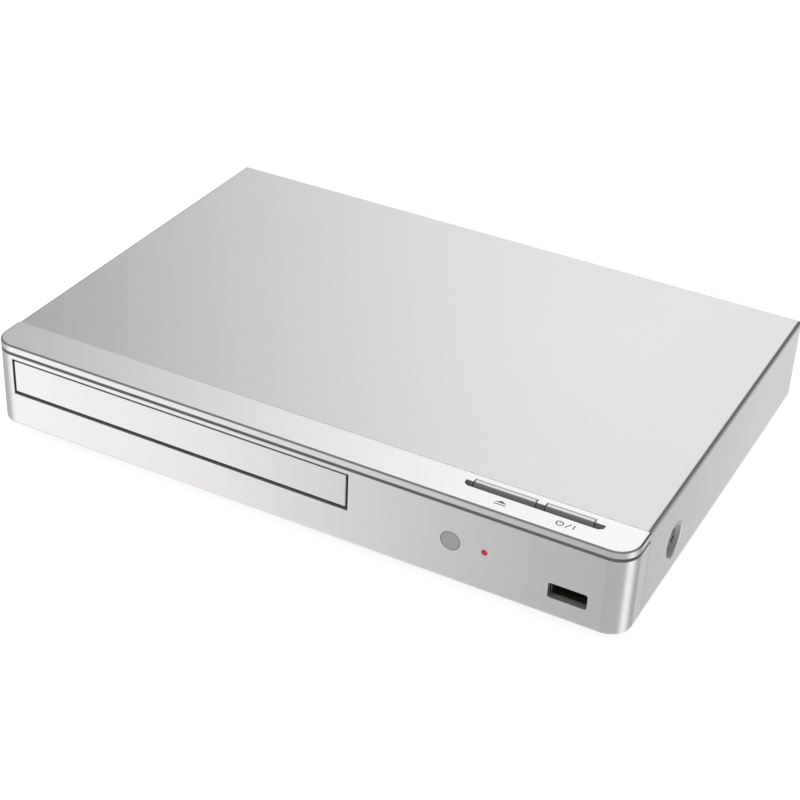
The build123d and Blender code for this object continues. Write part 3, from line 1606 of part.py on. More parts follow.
def traverse_plate():
    """Steel plate with the sled's bay, the motor's notch and folded tabs."""
    plan = RectangleRounded(2 * plate_half_width, length(plate_y), plate_corner)
    plan = Pos(tray_x, middle(plate_y)) * plan
    plate = slab(plan, plate_z) + rod_tabs()
    tall = past((plate_z[0], plate_z[1] + rod_tab_height))
    motor_y = (disc_y + feed_motor_front - fit_gap, disc_y + feed_motor_front + feed_motor_length + fit_gap)
    bay = block(bay_x, bay_y, past(plate_z))
    notch = block(about(feed_x, 2 * (feed_motor_radius + fit_gap)), motor_y, past(plate_z))
    rods = [rod_along_y(x, past(rod_y), rod_z, rod_radius + fit_gap) for x in rod_places]
    journal_y = past((rod_y[1] - rod_tab, rod_y[1]))
    journal = rod_along_y(feed_x, journal_y, feed_z, screw_journal_radius + shaft_gap)
    screws = [post(x, y, tall, screw_hole) for x, y in dampers]
    return plate - ([bay, notch, journal] + rods + screws)


def guide_rods():
    return group([rod_along_y(x, rod_y, rod_z, rod_radius) for x in rod_places])


def spindle_motor():
    """Base, stator and bearing tube of the motor that turns the disc."""
    base_top = plate_z[1] + spindle_base
    motor = post(tray_x, disc_y, (plate_z[1], base_top), spindle_base_radius)
    motor += post(tray_x, disc_y, rising(base_top, stator_height), stator_radius)
    tube = rising(base_top, bearing_height)
    motor += post(tray_x, disc_y, tube, bearing_radius)
    bore = (play_z - rotor_drop + rotor_height - spindle_length - run_gap, tube[1] + cut_over)
    return motor - post(tray_x, disc_y, bore, spindle_radius + shaft_gap)


def turntable():
    """Rotor bell, table and centring cone in one, turned on the spindle."""
    skirt = (play_z - rotor_drop, play_z - rotor_drop + rotor_height)
    bell = post(tray_x, disc_y, skirt, rotor_radius)
    bell -= post(tray_x, disc_y, (skirt[0] - cut_over, skirt[1] - rotor_wall), rotor_radius - rotor_wall)
    neck = post(tray_x, disc_y, (skirt[1], play_z - table_thickness), table_neck_radius)
    table = post(tray_x, disc_y, (play_z - table_thickness, play_z), table_radius)
    cone = Pos(tray_x, disc_y, play_z + cone_height / 2) * Cone(cone_radius, cone_top_radius, cone_height)
    shaft = post(tray_x, disc_y, (skirt[1] - spindle_length, skirt[1]), spindle_radius)
    return bell + [neck, table, cone, shaft]


def feed_motor():
    """Small motor in the plate's notch, held by a tab on the plate."""
    start = disc_y + feed_motor_front
    y = (start, start + feed_motor_length)
    body = rod_along_y(feed_x, y, feed_z, feed_motor_radius)
    tab_z = rising(plate_z[1], feed_tab_height)
    tab = block(about(feed_x, feed_tab_width), (y[0] - feed_tab, y[0]), tab_z)
    well = (y[1] - screw_journal_length - run_gap, y[1] + cut_over)
    return body + tab - rod_along_y(feed_x, well, feed_z, screw_journal_radius + shaft_gap)


def lead_screw():
    start = disc_y + feed_motor_front + feed_motor_length
    end = bay_y[1]
    thread = rod_along_y(feed_x, (start + run_gap, end - run_gap), feed_z, screw_thread_radius)
    journals = past((start, end), screw_journal_length, screw_journal_length)
    return thread + rod_along_y(feed_x, journals, feed_z, screw_journal_radius)


def pickup_sled():
    """Sled on the two rods, with a waist, a nut on the lead screw and the lens actuator."""
    y = (lens_y - sled_ahead, lens_y + sled_behind)
    z = (sled_top - sled_height, sled_top)
    body = block(about(tray_x, 2 * sled_half_width), y, z)
    waist_y = about(middle(y), sled_waist)
    waist = block((tray_x + sled_half_width - sled_waist_depth, tray_x + sled_half_width), waist_y, past(z))
    nut_y = (lens_y + nut_ahead, lens_y + nut_ahead + nut_length)
    nut_z = about(feed_z, 2 * (screw_thread_radius + nut_wall))
    nut = block((tray_x + sled_half_width - sled_waist_depth, tray_x + nut_from_middle), nut_y, nut_z)
    actuator = block(
        about(tray_x, actuator_width), about(lens_y, actuator_depth), (sled_top, sled_top + actuator_height)
    )
    actuator = fillet(actuator.edges().filter_by(Axis.Z), lens_round * 2)
    holes = [rod_along_y(x, past(y), rod_z, rod_radius + shaft_gap) for x in rod_places]
    thread = rod_along_y(feed_x, past(nut_y), feed_z, screw_thread_radius + fit_gap)
    return body - mirrored(waist) + [nut, actuator] - (holes + [thread])


def objective_lens():
    z = (sled_top + actuator_height, sled_top + actuator_height + lens_height)
    lens = post(tray_x, lens_y, z, lens_radius)
    return fillet(lens.edges().sort_by(Axis.Z)[-1], lens_round)


pieces = {
    "bottom_chassis": bottom_chassis(),
    "top_cover": top_cover(),
    "front_panel": front_panel(),
    "feet": group([foot(x, y) for x, y in feet]),
    "foot_pads": group([foot_pad(x, y) for x, y in feet]),
    "cover_screws": cover_screws(),
    "inner_screws": inner_screws(),
    "tray_door": tray_door(),
    "open_key": open_key(),
    "power_key": power_key(),
    "open_plunger": plunger(open_key_x),
    "power_plunger": plunger(power_key_x),
    "key_board": key_board(),
    "key_switches": key_switches(),
    "sensor_window": window(sensor_x, sensor_radius),
    "lamp_lens": window(lamp_x, lamp_radius),
    "remote_receiver": remote_receiver(),
    "status_lamp": status_lamp(),
    "front_board": front_board(),
    "usb_shell": usb_shell(),
    "usb_tongue": usb_tongue(),
    "main_board": board(main_board_x, main_board_y, main_posts),
    "main_chip": main_chip(),
    "heat_sink": heat_sink(),
    "capacitors": capacitors(),
    "hdmi_shell": hdmi_shell(),
    "hdmi_tongue": hdmi_tongue(),
    "lan_jack": lan_jack(),
    "coax_jack": coax_jack(),
    "coax_barrel": coax_barrel(),
    "power_board": board(power_board_x, power_board_y, power_posts),
    "transformer_core": transformer_core(),
    "transformer_winding": transformer_winding(),
    "mains_inlet": mains_inlet(),
    "mains_pins": mains_pins(),
    "cable_sockets": cable_sockets(),
    "front_cable": front_cable(),
    "loader_cable": loader_cable(),
    "loader_frame": loader_frame(),
    "disc_tray": disc_tray(),
    "drive_gear": drive_gear(),
    "pulley_gear": pulley_gear(),
    "motor_pulley": motor_pulley(),
    "loading_motor": loading_motor(),
    "drive_belt": drive_belt(),
    "clamp_bridge": clamp_bridge(),
    "clamper": clamper(),
    "clamp_yoke": clamp_yoke(),
    "cam_slider": cam_slider(),
    "lift_frame": at_rest(lift_frame()),
    "traverse_plate": at_rest(traverse_plate()),
    "damper_bushes": at_rest(damper_bushes()),
    "damper_screws": at_rest(damper_screws()),
    "guide_rods": at_rest(guide_rods()),
    "spindle_motor": at_rest(spindle_motor()),
    "turntable": at_rest(turntable()),
    "feed_motor": at_rest(feed_motor()),
    "lead_screw": at_rest(lead_screw()),
    "pickup_sled": at_rest(pickup_sled()),
    "objective_lens": at_rest(objective_lens()),
}

os.makedirs("parts", exist_ok=True)
for name, shape in pieces.items():
    export_step(shape, f"parts/{name}.step")
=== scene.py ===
import bmesh
import bpy
import json
import math
from mathutils import Matrix, Vector


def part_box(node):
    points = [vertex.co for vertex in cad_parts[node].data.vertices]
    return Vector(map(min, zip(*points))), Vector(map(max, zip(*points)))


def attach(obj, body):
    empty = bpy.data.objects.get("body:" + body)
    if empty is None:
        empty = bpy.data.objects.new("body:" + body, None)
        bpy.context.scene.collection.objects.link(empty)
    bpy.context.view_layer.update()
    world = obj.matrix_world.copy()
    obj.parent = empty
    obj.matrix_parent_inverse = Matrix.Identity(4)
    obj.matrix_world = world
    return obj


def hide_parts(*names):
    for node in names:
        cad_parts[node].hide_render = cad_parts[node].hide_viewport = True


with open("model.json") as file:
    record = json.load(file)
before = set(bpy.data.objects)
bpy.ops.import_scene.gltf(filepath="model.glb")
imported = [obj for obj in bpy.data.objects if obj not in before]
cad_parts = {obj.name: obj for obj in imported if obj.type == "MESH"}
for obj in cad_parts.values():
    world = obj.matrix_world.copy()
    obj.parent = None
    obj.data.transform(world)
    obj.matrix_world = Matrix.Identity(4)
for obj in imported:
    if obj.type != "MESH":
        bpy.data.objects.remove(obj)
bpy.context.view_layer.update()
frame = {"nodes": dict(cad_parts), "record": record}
nodes = frame["nodes"]
mm = 0.001
print("frame loaded:", len(nodes), "nodes")


# Camera, floor and light

photoView = {
    "place": (0.25645, -0.52022, 0.37852),
    "azimuth": 26.491,  # degrees
    "elevation": 32.678,
    "roll": 2.851,
    "lens": 82.11,
    "nearest": 0.01,  # metres
}


def addCamera(view):
    a, e, r = (math.radians(view[k]) for k in ("azimuth", "elevation", "roll"))
    back = Vector((math.sin(a) * math.cos(e), -math.cos(a) * math.cos(e), math.sin(e)))
    level = Vector((math.cos(a), math.sin(a), 0))
    above = back.cross(level)
    right = math.cos(r) * level + math.sin(r) * above
    up = -math.sin(r) * level + math.cos(r) * above
    data = bpy.data.cameras.new("photoCamera")
    data.lens = view["lens"]
    data.clip_start = view["nearest"]
    camera = bpy.data.objects.new("photoCamera", data)
    bpy.context.scene.collection.objects.link(camera)
    camera.matrix_world = Matrix.Translation(view["place"]) @ Matrix((right, up, back)).transposed().to_4x4()
    bpy.context.scene.camera = camera


def addNode(tree, kind, **values):
    made = tree.nodes.new(kind)
    for key, value in values.items():
        made.inputs[key.replace("_", " ")].default_value = value
    return made


def addMath(tree, operation, first, second=0.0):
    made = tree.nodes.new("ShaderNodeMath")
    made.operation = operation
    for socket, value in zip(made.inputs, (first, second)):
        if isinstance(value, bpy.types.NodeSocket):
            tree.links.new(value, socket)
        else:
            socket.default_value = value
    return made.outputs[0]


def addMapRange(tree, value, low, high, toLow, toHigh):
    made = addNode(tree, "ShaderNodeMapRange", From_Min=low, From_Max=high, To_Min=toLow, To_Max=toHigh)
    tree.links.new(value, made.inputs["Value"])
    return made.outputs["Result"]


studioWorld = {
    "fill": 0.7,  # strength on matt surfaces
    # strength seen in the gloss by bearing in degrees, 0 behind the player and 90 at its right
    "glowAbove": {
        -180: 0.72, -130: 0.7, -100: 0.6, -78: 0.46, -62: 0.37, -52: 0.37, -44: 0.45, -40: 0.56,
        -35: 0.76, -30: 0.96, -25: 1.13, -20: 1.19, -13: 1.18, -6: 1.12, 2: 0.85, 8: 0.3, 14: 0.11,
        34: 0.13, 48: 0.5, 75: 0.8, 130: 0.75, 180: 0.72,
    },
    "glowBelow": {
        -180: 0.525, -163: 0.465, -159: 0.49, -155: 0.66, -151: 0.84, -147: 1.03, -142: 1.2, -136: 1.24,
        -128: 1.04, -118: 0.72, -108: 0.56, -90: 0.53, -60: 0.5, -20: 1.1, 6: 1.3, 11: 1.25, 13: 1.03,
        15: 0.76, 17: 0.57, 20: 0.51, 45: 0.52, 58: 0.64, 66: 0.88, 74: 1.1, 83: 1.15, 92: 1.14, 99: 1.0,
        106: 0.76, 113: 0.58, 124: 0.525, 180: 0.525,
    },
    "brightest": 1.3,
    "horizon": 0.12,  # half height of the change between above and below
}


def addRamp(tree, value, stops, brightest):
    ramp = tree.nodes.new("ShaderNodeValToRGB")
    bands = ramp.color_ramp.elements
    while len(bands) < len(stops):
        bands.new(0.5)
    for band, (bearing, strength) in zip(bands, sorted(stops.items())):
        band.position = bearing / 360 + 0.5  # a whole turn lies between 0 and 1
        band.color = (*[strength / brightest] * 3, 1)
    tree.links.new(addMath(tree, "ADD", addMath(tree, "DIVIDE", value, 2 * math.pi), 0.5), ramp.inputs[0])
    return addMath(tree, "MULTIPLY", ramp.outputs[0], brightest)


def addWorld(look):
    world = bpy.data.worlds.new("studioWorld")
    world.use_nodes = True
    tree = world.node_tree
    tree.nodes.clear()
    rays = tree.nodes.new("ShaderNodeLightPath")
    place = tree.nodes.new("ShaderNodeTexCoord")
    split = tree.nodes.new("ShaderNodeSeparateXYZ")
    tree.links.new(place.outputs["Generated"], split.inputs[0])
    bearing = addMath(tree, "ARCTAN2", split.outputs["X"], split.outputs["Y"])
    above = addRamp(tree, bearing, look["glowAbove"], look["brightest"])
    below = addRamp(tree, bearing, look["glowBelow"], look["brightest"])
    share = addMapRange(tree, split.outputs["Z"], -look["horizon"], look["horizon"], 0, 1)
    rise = addMath(tree, "SUBTRACT", above, below)
    glow = addMath(tree, "ADD", below, addMath(tree, "MULTIPLY", share, rise))
    gloss = addMath(tree, "MULTIPLY", rays.outputs["Is Glossy Ray"], glow)
    seen = addMath(tree, "MAXIMUM", rays.outputs["Is Camera Ray"], rays.outputs["Is Transmission Ray"])
    other = addMath(tree, "MAXIMUM", seen, rays.outputs["Is Glossy Ray"])
    matt = addMath(tree, "MULTIPLY", addMath(tree, "SUBTRACT", 1.0, other), look["fill"])
    strength = addMath(tree, "ADD", addMath(tree, "ADD", seen, gloss), matt)
    background = addNode(tree, "ShaderNodeBackground", Color=(1, 1, 1, 1))
    tree.links.new(strength, background.inputs["Strength"])
    output = tree.nodes.new("ShaderNodeOutputWorld")
    tree.links.new(background.outputs[0], output.inputs["Surface"])
    bpy.context.scene.world = world


paleFloor = {
    "half": 4.0,  # metres
    "colour": (0.4, 0.4, 0.4, 1),
    "glow": 0.78,  # added for the camera, so that the lit floor is white
}


def addFloor(look):
    half = look["half"]
    mesh = bpy.data.meshes.new("paleFloor")
    corners = [(-half, -half, 0), (half, -half, 0), (half, half, 0), (-half, half, 0)]
    mesh.from_pydata(corners, [], [(0, 1, 2, 3)])
    floor = bpy.data.objects.new("paleFloor", mesh)
    bpy.context.scene.collection.objects.link(floor)
    floor.visible_glossy = False  # the gloss shows the glow of the studio there instead
    material = bpy.data.materials.new("paleFloor")
    material.use_nodes = True
    tree = material.node_tree
    tree.nodes.clear()
    rays = tree.nodes.new("ShaderNodeLightPath")
    seen = addMath(tree, "MAXIMUM", rays.outputs["Is Camera Ray"], rays.outputs["Is Transmission Ray"])
    paint = addNode(tree, "ShaderNodeBsdfDiffuse", Color=look["colour"])
    light = addNode(tree, "ShaderNodeEmission", Color=(1, 1, 1, 1))
    tree.links.new(addMath(tree, "MULTIPLY", seen, look["glow"]), light.inputs["Strength"])
    both = tree.nodes.new("ShaderNodeAddShader")
    tree.links.new(paint.outputs[0], both.inputs[0])
    tree.links.new(light.outputs[0], both.inputs[1])
    output = tree.nodes.new("ShaderNodeOutputMaterial")
    tree.links.new(both.outputs[0], output.inputs["Surface"])
    mesh.materials.append(material)


softLamps = {
    "overhead": {"place": (0.1, 0.1, 1.3), "aim": (0, 0, 0), "side": 1.2, "power": 9},
    "left": {"place": (-0.9, -0.8, 0.7), "aim": (0, 0, 0), "side": 0.6, "power": 4},
}


def addLamps(lamps):
    for name, lamp in lamps.items():
        data = bpy.data.lights.new(name + "Lamp", "AREA")
        data.size = lamp["side"]
        data.energy = lamp["power"]
        made = bpy.data.objects.new(name + "Lamp", data)
        bpy.context.scene.collection.objects.link(made)
        made.location = lamp["place"]
        toward = Vector(lamp["aim"]) - Vector(lamp["place"])
        made.rotation_euler = toward.to_track_quat("-Z", "Y").to_euler()
        made.visible_glossy = False  # the studio's glow stands for it in the gloss


addCamera(photoView)
addWorld(studioWorld)
addFloor(paleFloor)
addLamps(softLamps)
bpy.context.scene.view_settings.view_transform = "Standard"
print("stage set")


# Shared surface effects

def newGroup(name, inputs, outputs):
    group = bpy.data.node_groups.new(name, "ShaderNodeTree")
    for socket, value in inputs.items():
        made = group.interface.new_socket(socket, in_out="INPUT", socket_type="NodeSocketFloat")
        made.default_value = value
    for socket in outputs:
        group.interface.new_socket(socket, in_out="OUTPUT", socket_type="NodeSocketFloat")
    return group, group.nodes.new("NodeGroupInput"), group.nodes.new("NodeGroupOutput")


metalFlake = {"flakes": 4000, "drift": 9, "driftDetail": 2}  # flakes and waves of the paint per metre


def makeFlake(look):
    inputs = {"Flakes per Metre": look["flakes"], "Drift per Metre": look["drift"]}
    group, given, put = newGroup("metalFlake", inputs, ("Sparkle", "Drift"))
    place = group.nodes.new("ShaderNodeTexCoord")
    cells = group.nodes.new("ShaderNodeTexVoronoi")
    group.links.new(place.outputs["Object"], cells.inputs["Vector"])
    group.links.new(given.outputs["Flakes per Metre"], cells.inputs["Scale"])
    split = group.nodes.new("ShaderNodeSeparateColor")
    group.links.new(cells.outputs["Color"], split.inputs[0])
    drift = addNode(group, "ShaderNodeTexNoise", Detail=look["driftDetail"])
    group.links.new(place.outputs["Object"], drift.inputs["Vector"])
    group.links.new(given.outputs["Drift per Metre"], drift.inputs["Scale"])
    group.links.new(split.outputs[0], put.inputs["Sparkle"])
    group.links.new(drift.outputs[0], put.inputs["Drift"])
    return group


mouldGrain = {
    "grains": 2500,  # per metre
    "fineDetail": 3,
    "fineRough": 0.6,
    "tones": 60,  # broad changes of tone per metre
    "toneDetail": 4,
}


def makeGrain(look):
    group, given, put = newGroup("mouldGrain", {"Grains per Metre": look["grains"]}, ("Height", "Tone"))
    place = group.nodes.new("ShaderNodeTexCoord")
    fine = addNode(group, "ShaderNodeTexNoise", Detail=look["fineDetail"], Roughness=look["fineRough"])
    group.links.new(place.outputs["Object"], fine.inputs["Vector"])
    group.links.new(given.outputs["Grains per Metre"], fine.inputs["Scale"])
    broad = addNode(group, "ShaderNodeTexNoise", Scale=look["tones"], Detail=look["toneDetail"])
    group.links.new(place.outputs["Object"], broad.inputs["Vector"])
    group.links.new(fine.outputs[0], put.inputs["Height"])
    group.links.new(broad.outputs[0], put.inputs["Tone"])
    return group


zincSpangle = {
    "spangles": 220,  # per metre
    "scratches": (90, 3000, 3000),  # per metre, drawn out along x
    "scratchDetail": 2,
}


def makeSpangle(look):
    inputs = {"Spangles per Metre": look["spangles"]}
    group, given, put = newGroup("zincSpangle", inputs, ("Tone", "Scratch"))
    place = group.nodes.new("ShaderNodeTexCoord")
    cells = group.nodes.new("ShaderNodeTexVoronoi")
    group.links.new(place.outputs["Object"], cells.inputs["Vector"])
    group.links.new(given.outputs["Spangles per Metre"], cells.inputs["Scale"])
    split = group.nodes.new("ShaderNodeSeparateColor")
    group.links.new(cells.outputs["Color"], split.inputs[0])
    stretch = addNode(group, "ShaderNodeMapping", Scale=look["scratches"])
    group.links.new(place.outputs["Object"], stretch.inputs["Vector"])
    lines = addNode(group, "ShaderNodeTexNoise", Scale=1, Detail=look["scratchDetail"])
    group.links.new(stretch.outputs[0], lines.inputs["Vector"])
    group.links.new(split.outputs[0], put.inputs["Tone"])
    group.links.new(lines.outputs[0], put.inputs["Scratch"])
    return group


def partPlace(tree):
    place = tree.nodes.new("ShaderNodeTexCoord")
    split = tree.nodes.new("ShaderNodeSeparateXYZ")
    tree.links.new(place.outputs["Object"], split.inputs[0])
    return split.outputs


def spanMask(tree, value, low, high):
    above = addMath(tree, "GREATER_THAN", value, low)
    return addMath(tree, "MULTIPLY", above, addMath(tree, "LESS_THAN", value, high))


placeBox = {"reach": 1}  # metres, past the part on each side


def makeBox(look):
    bounds = {}
    for axis in "XYZ":
        bounds["Low " + axis], bounds["High " + axis] = -look["reach"], look["reach"]
    group, given, put = newGroup("placeBox", bounds, ("Mask",))
    mask = 1.0
    for axis, value in zip("XYZ", partPlace(group)):
        inSpan = spanMask(group, value, given.outputs["Low " + axis], given.outputs["High " + axis])
        mask = addMath(group, "MULTIPLY", mask, inSpan)
    group.links.new(mask, put.inputs["Mask"])
    return group


edgeFacing = {"least": 0.7}  # share of a normal along an axis


def makeFacing(look):
    group, given, put = newGroup("edgeFacing", {"Least": look["least"]}, ("Along Y", "Along Z"))
    place = group.nodes.new("ShaderNodeTexCoord")
    split = group.nodes.new("ShaderNodeSeparateXYZ")
    group.links.new(place.outputs["Normal"], split.inputs[0])
    for axis in "YZ":
        share = addMath(group, "ABSOLUTE", split.outputs[axis])
        faces = addMath(group, "GREATER_THAN", share, given.outputs["Least"])
        group.links.new(faces, put.inputs["Along " + axis])
    return group


flakeGroup = makeFlake(metalFlake)
grainGroup = makeGrain(mouldGrain)
spangleGroup = makeSpangle(zincSpangle)
boxGroup = makeBox(placeBox)
facingGroup = makeFacing(edgeFacing)
print("surface effects made")


# Finishes

finishKit = {
    "ior": 1.46,
    "coatRough": 0.1,
    "noiseSpan": (0.3, 0.7),  # where most values of a noise lie
    "paintRelief": 0.3,  # strengths of bumps
    "metalRelief": 0.3,
    "plasticRelief": 0.5,
}


def newFinish(name, look):
    material = bpy.data.materials.new(name)
    material.use_nodes = True
    tree = material.node_tree
    shader = tree.nodes["Principled BSDF"]
    shader.inputs["Metallic"].default_value = look.get("metallic", 0)
    shader.inputs["IOR"].default_value = finishKit["ior"]
    shader.inputs["Coat Weight"].default_value = look.get("coat", 0)
    shader.inputs["Coat Roughness"].default_value = finishKit["coatRough"]
    material.diffuse_color = (*look["colour"], 1)
    return material, tree, shader


def useGroup(tree, group, **values):
    made = tree.nodes.new("ShaderNodeGroup")
    made.node_tree = group
    for key, value in values.items():
        made.inputs[key.replace("_", " ")].default_value = value
    return made.outputs


def tint(tree, mask, colour, shift):
    mix = tree.nodes.new("ShaderNodeMix")
    mix.data_type = "RGBA"
    mix.inputs["A"].default_value = (*(c * (1 - shift) for c in colour), 1)
    mix.inputs["B"].default_value = (*(min(1, c * (1 + shift)) for c in colour), 1)
    tree.links.new(mask, mix.inputs["Factor"])
    return mix.outputs["Result"]


def roughFrom(tree, noise, shader, look):
    rough = addMapRange(tree, noise, *finishKit["noiseSpan"], *look["rough"])
    tree.links.new(rough, shader.inputs["Roughness"])


def bumpFrom(tree, height, shader, depth, strength):
    bump = addNode(tree, "ShaderNodeBump", Distance=depth, Strength=strength)
    tree.links.new(height, bump.inputs["Height"])
    tree.links.new(bump.outputs[0], shader.inputs["Normal"])


def fromPlace(tree, place):
    return [addMath(tree, "SUBTRACT", value, at) for value, at in zip(partPlace(tree), place)]


def squareSum(tree, first, second):
    firstSquare, secondSquare = (addMath(tree, "MULTIPLY", value, value) for value in (first, second))
    return addMath(tree, "ADD", firstSquare, secondSquare)


def boxMask(tree, **spans):
    bounds = {}
    for axis, (low, high) in spans.items():
        bounds["Low_" + axis], bounds["High_" + axis] = low, high
    return useGroup(tree, boxGroup, **bounds)["Mask"]


def edgeMask(tree, axis, span, least=edgeFacing["least"]):
    faces = useGroup(tree, facingGroup, Least=least)["Along " + axis]
    return addMath(tree, "MULTIPLY", boxMask(tree, **{axis: span}), faces)


def lineMask(tree, place, length, width, lean):
    x, y = fromPlace(tree, place)
    side, up = math.sin(math.radians(lean)), math.cos(math.radians(lean))
    along = addMath(tree, "ADD", addMath(tree, "MULTIPLY", x, side), addMath(tree, "MULTIPLY", y, up))
    across = addMath(tree, "SUBTRACT", addMath(tree, "MULTIPLY", x, up), addMath(tree, "MULTIPLY", y, side))
    inLength = addMath(tree, "LESS_THAN", addMath(tree, "ABSOLUTE", along), length / 2)
    inWidth = addMath(tree, "LESS_THAN", addMath(tree, "ABSOLUTE", across), width / 2)
    return addMath(tree, "MULTIPLY", inLength, inWidth)


def wedgeMask(tree, place, width, depth):
    x, y = fromPlace(tree, place)
    reach = addMapRange(tree, y, 0, depth, width / 2, 0)
    inside = addMath(tree, "LESS_THAN", addMath(tree, "ABSOLUTE", x), reach)
    return addMath(tree, "MULTIPLY", inside, spanMask(tree, y, 0, depth))


def ringMask(tree, place, radius, width, gap):
    x, y = fromPlace(tree, place)
    reach = addMath(tree, "SQRT", squareSum(tree, x, y))
    ring = spanMask(tree, reach, radius - width / 2, radius + width / 2)
    inGap = addMath(tree, "LESS_THAN", addMath(tree, "ABSOLUTE", x), gap / 2)
    inGap = addMath(tree, "MULTIPLY", inGap, addMath(tree, "GREATER_THAN", y, 0.0))
    return addMath(tree, "MULTIPLY", ring, addMath(tree, "SUBTRACT", 1.0, inGap))


def mixColour(tree, mask, first, shade):
    mix = tree.nodes.new("ShaderNodeMix")
    mix.data_type = "RGBA"
    mix.inputs["B"].default_value = (*shade, 1)
    tree.links.new(mask, mix.inputs["Factor"])
    tree.links.new(first, mix.inputs["A"])
    return mix.outputs["Result"]


def silverPaint(name, look, covers=()):
    material, tree, shader = newFinish(name, look)
    flake = useGroup(tree, flakeGroup, Flakes_per_Metre=look["flakes"])
    colour = tint(tree, flake["Sparkle"], look["colour"], look["sparkle"])
    metal = look["metallic"]
    for maskOf, shade, bare in covers:  # places with another colour, bare ones without the silver
        mask = maskOf(tree)
        colour = mixColour(tree, mask, colour, shade)
        lost = addMath(tree, "MULTIPLY", mask, bare)
        metal = addMath(tree, "MULTIPLY", metal, addMath(tree, "SUBTRACT", 1.0, lost))
    if covers:
        tree.links.new(metal, shader.inputs["Metallic"])
    tree.links.new(colour, shader.inputs["Base Color"])
    roughFrom(tree, flake["Drift"], shader, look)
    bumpFrom(tree, flake["Sparkle"], shader, look["bump"], finishKit["paintRelief"])
    return material


def mouldedPlastic(name, look, covers=()):
    material, tree, shader = newFinish(name, look)
    grain = useGroup(tree, grainGroup, Grains_per_Metre=look["grains"])
    colour = tint(tree, grain["Tone"], look["colour"], look["drift"])
    for maskOf, shade in covers:
        colour = mixColour(tree, maskOf(tree), colour, shade)
    tree.links.new(colour, shader.inputs["Base Color"])
    roughFrom(tree, grain["Tone"], shader, look)
    bumpFrom(tree, grain["Height"], shader, look["bump"], finishKit["plasticRelief"])
    return material


def platedMetal(name, look):
    material, tree, shader = newFinish(name, {"metallic": 1, **look})
    plate = useGroup(tree, spangleGroup, Spangles_per_Metre=look["spangles"])
    tree.links.new(tint(tree, plate["Tone"], look["colour"], look["drift"]), shader.inputs["Base Color"])
    roughFrom(tree, plate["Scratch"], shader, look)
    bumpFrom(tree, plate["Scratch"], shader, look["bump"], finishKit["metalRelief"])
    return material


def slotNodes(slot):
    return [s["node"] for s in frame["record"]["subparts"] if s["material_slot"] == slot]


def dressNode(name, material):
    mesh = nodes[name].data
    mesh.materials.clear()
    mesh.materials.append(material)


def dress(slot, material):
    for name in slotNodes(slot):
        dressNode(name, material)


coverLow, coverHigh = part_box("top_cover")
panelLow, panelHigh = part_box("front_panel")
doorLow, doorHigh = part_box("tray_door")
openLow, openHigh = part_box("open_key")
powerLow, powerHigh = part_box("power_key")
portLow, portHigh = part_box("usb_shell")

coverPaint = {
    "colour": (0.665, 0.645, 0.665),
    "metallic": 0.95,
    "rough": (0.21, 0.25),
    "flakes": 5200,
    "sparkle": 0.04,
    "bump": 0.01 * mm,
}
# painted shade and light on the cover: a dark dimple, a lit upper slope and pale seam walls
coverShadeAndLight = {
    # painted shade in the side's dimple, where the recess lies in shadow
    "dimpleShadeColour": (0.13, 0.128, 0.13),
    "dimplePlace": (panelLow.y + 42 * mm, panelLow.z + 13.1 * mm),  # y and z of the middle
    "dimpleRadius": 7.6 * mm,
    "dimpleDepth": 0.3 * mm,  # from the side to where its shade starts
    "dimpleFade": (-4 * mm, 3 * mm),  # heights over the middle
    "dimpleShade": (0.8, 0.5),  # at these heights
    "dimpleHighlightSpan": (1.8 * mm, 2.8 * mm),  # where the painted highlight on its upper slope starts
    # painted highlight on the dimple's upper slope
    "dimpleHighlightColour": (0.85, 0.83, 0.85),
    # painted light: pale matt walls in the narrow gaps, lighter than their shade
    "gapWallLightColour": (0.8, 0.78, 0.8),
    "edge": (coverLow.y - 1.3 * mm, coverLow.y + 0.3 * mm),  # where it meets the ledge
}


def dimpleInside(tree):
    look = coverShadeAndLight
    place = partPlace(tree)
    y = addMath(tree, "SUBTRACT", place["Y"], look["dimplePlace"][0])
    z = addMath(tree, "SUBTRACT", place["Z"], look["dimplePlace"][1])
    near = addMath(tree, "LESS_THAN", squareSum(tree, y, z), look["dimpleRadius"] ** 2)
    outward = addMath(tree, "ABSOLUTE", place["X"])
    deep = addMath(tree, "LESS_THAN", outward, coverHigh.x - look["dimpleDepth"])
    return addMath(tree, "MULTIPLY", near, deep), z


# painted shade in the dimple, darker towards its bottom
def dimpleShadeMask(tree):
    inside, z = dimpleInside(tree)
    low = addMath(tree, "LESS_THAN", z, coverShadeAndLight["dimpleFade"][1])
    shade = addMapRange(tree, z, *coverShadeAndLight["dimpleFade"], *coverShadeAndLight["dimpleShade"])
    return addMath(tree, "MULTIPLY", shade, addMath(tree, "MULTIPLY", inside, low))


# painted highlight on the dimple's upper slope
def dimpleHighlightMask(tree):
    inside, z = dimpleInside(tree)
    return addMath(tree, "MULTIPLY", inside, addMapRange(tree, z, *coverShadeAndLight["dimpleHighlightSpan"], 0, 1))


# painted light on the walls of the seam between cover and panel
def seamLightMask(tree):
    return edgeMask(tree, "Y", coverShadeAndLight["edge"])


# painted shade in the dimple, a painted highlight on its upper slope and painted light in the seam
coverPaintedShading = [
    (dimpleShadeMask, coverShadeAndLight["dimpleShadeColour"], 1.0),
    (dimpleHighlightMask, coverShadeAndLight["dimpleHighlightColour"], 1.0),
    (seamLightMask, coverShadeAndLight["gapWallLightColour"], 1.0),
]
# the cover's paint carries the painted shade and light listed above
dress("cover", silverPaint("coverPaint", coverPaint, coverPaintedShading))

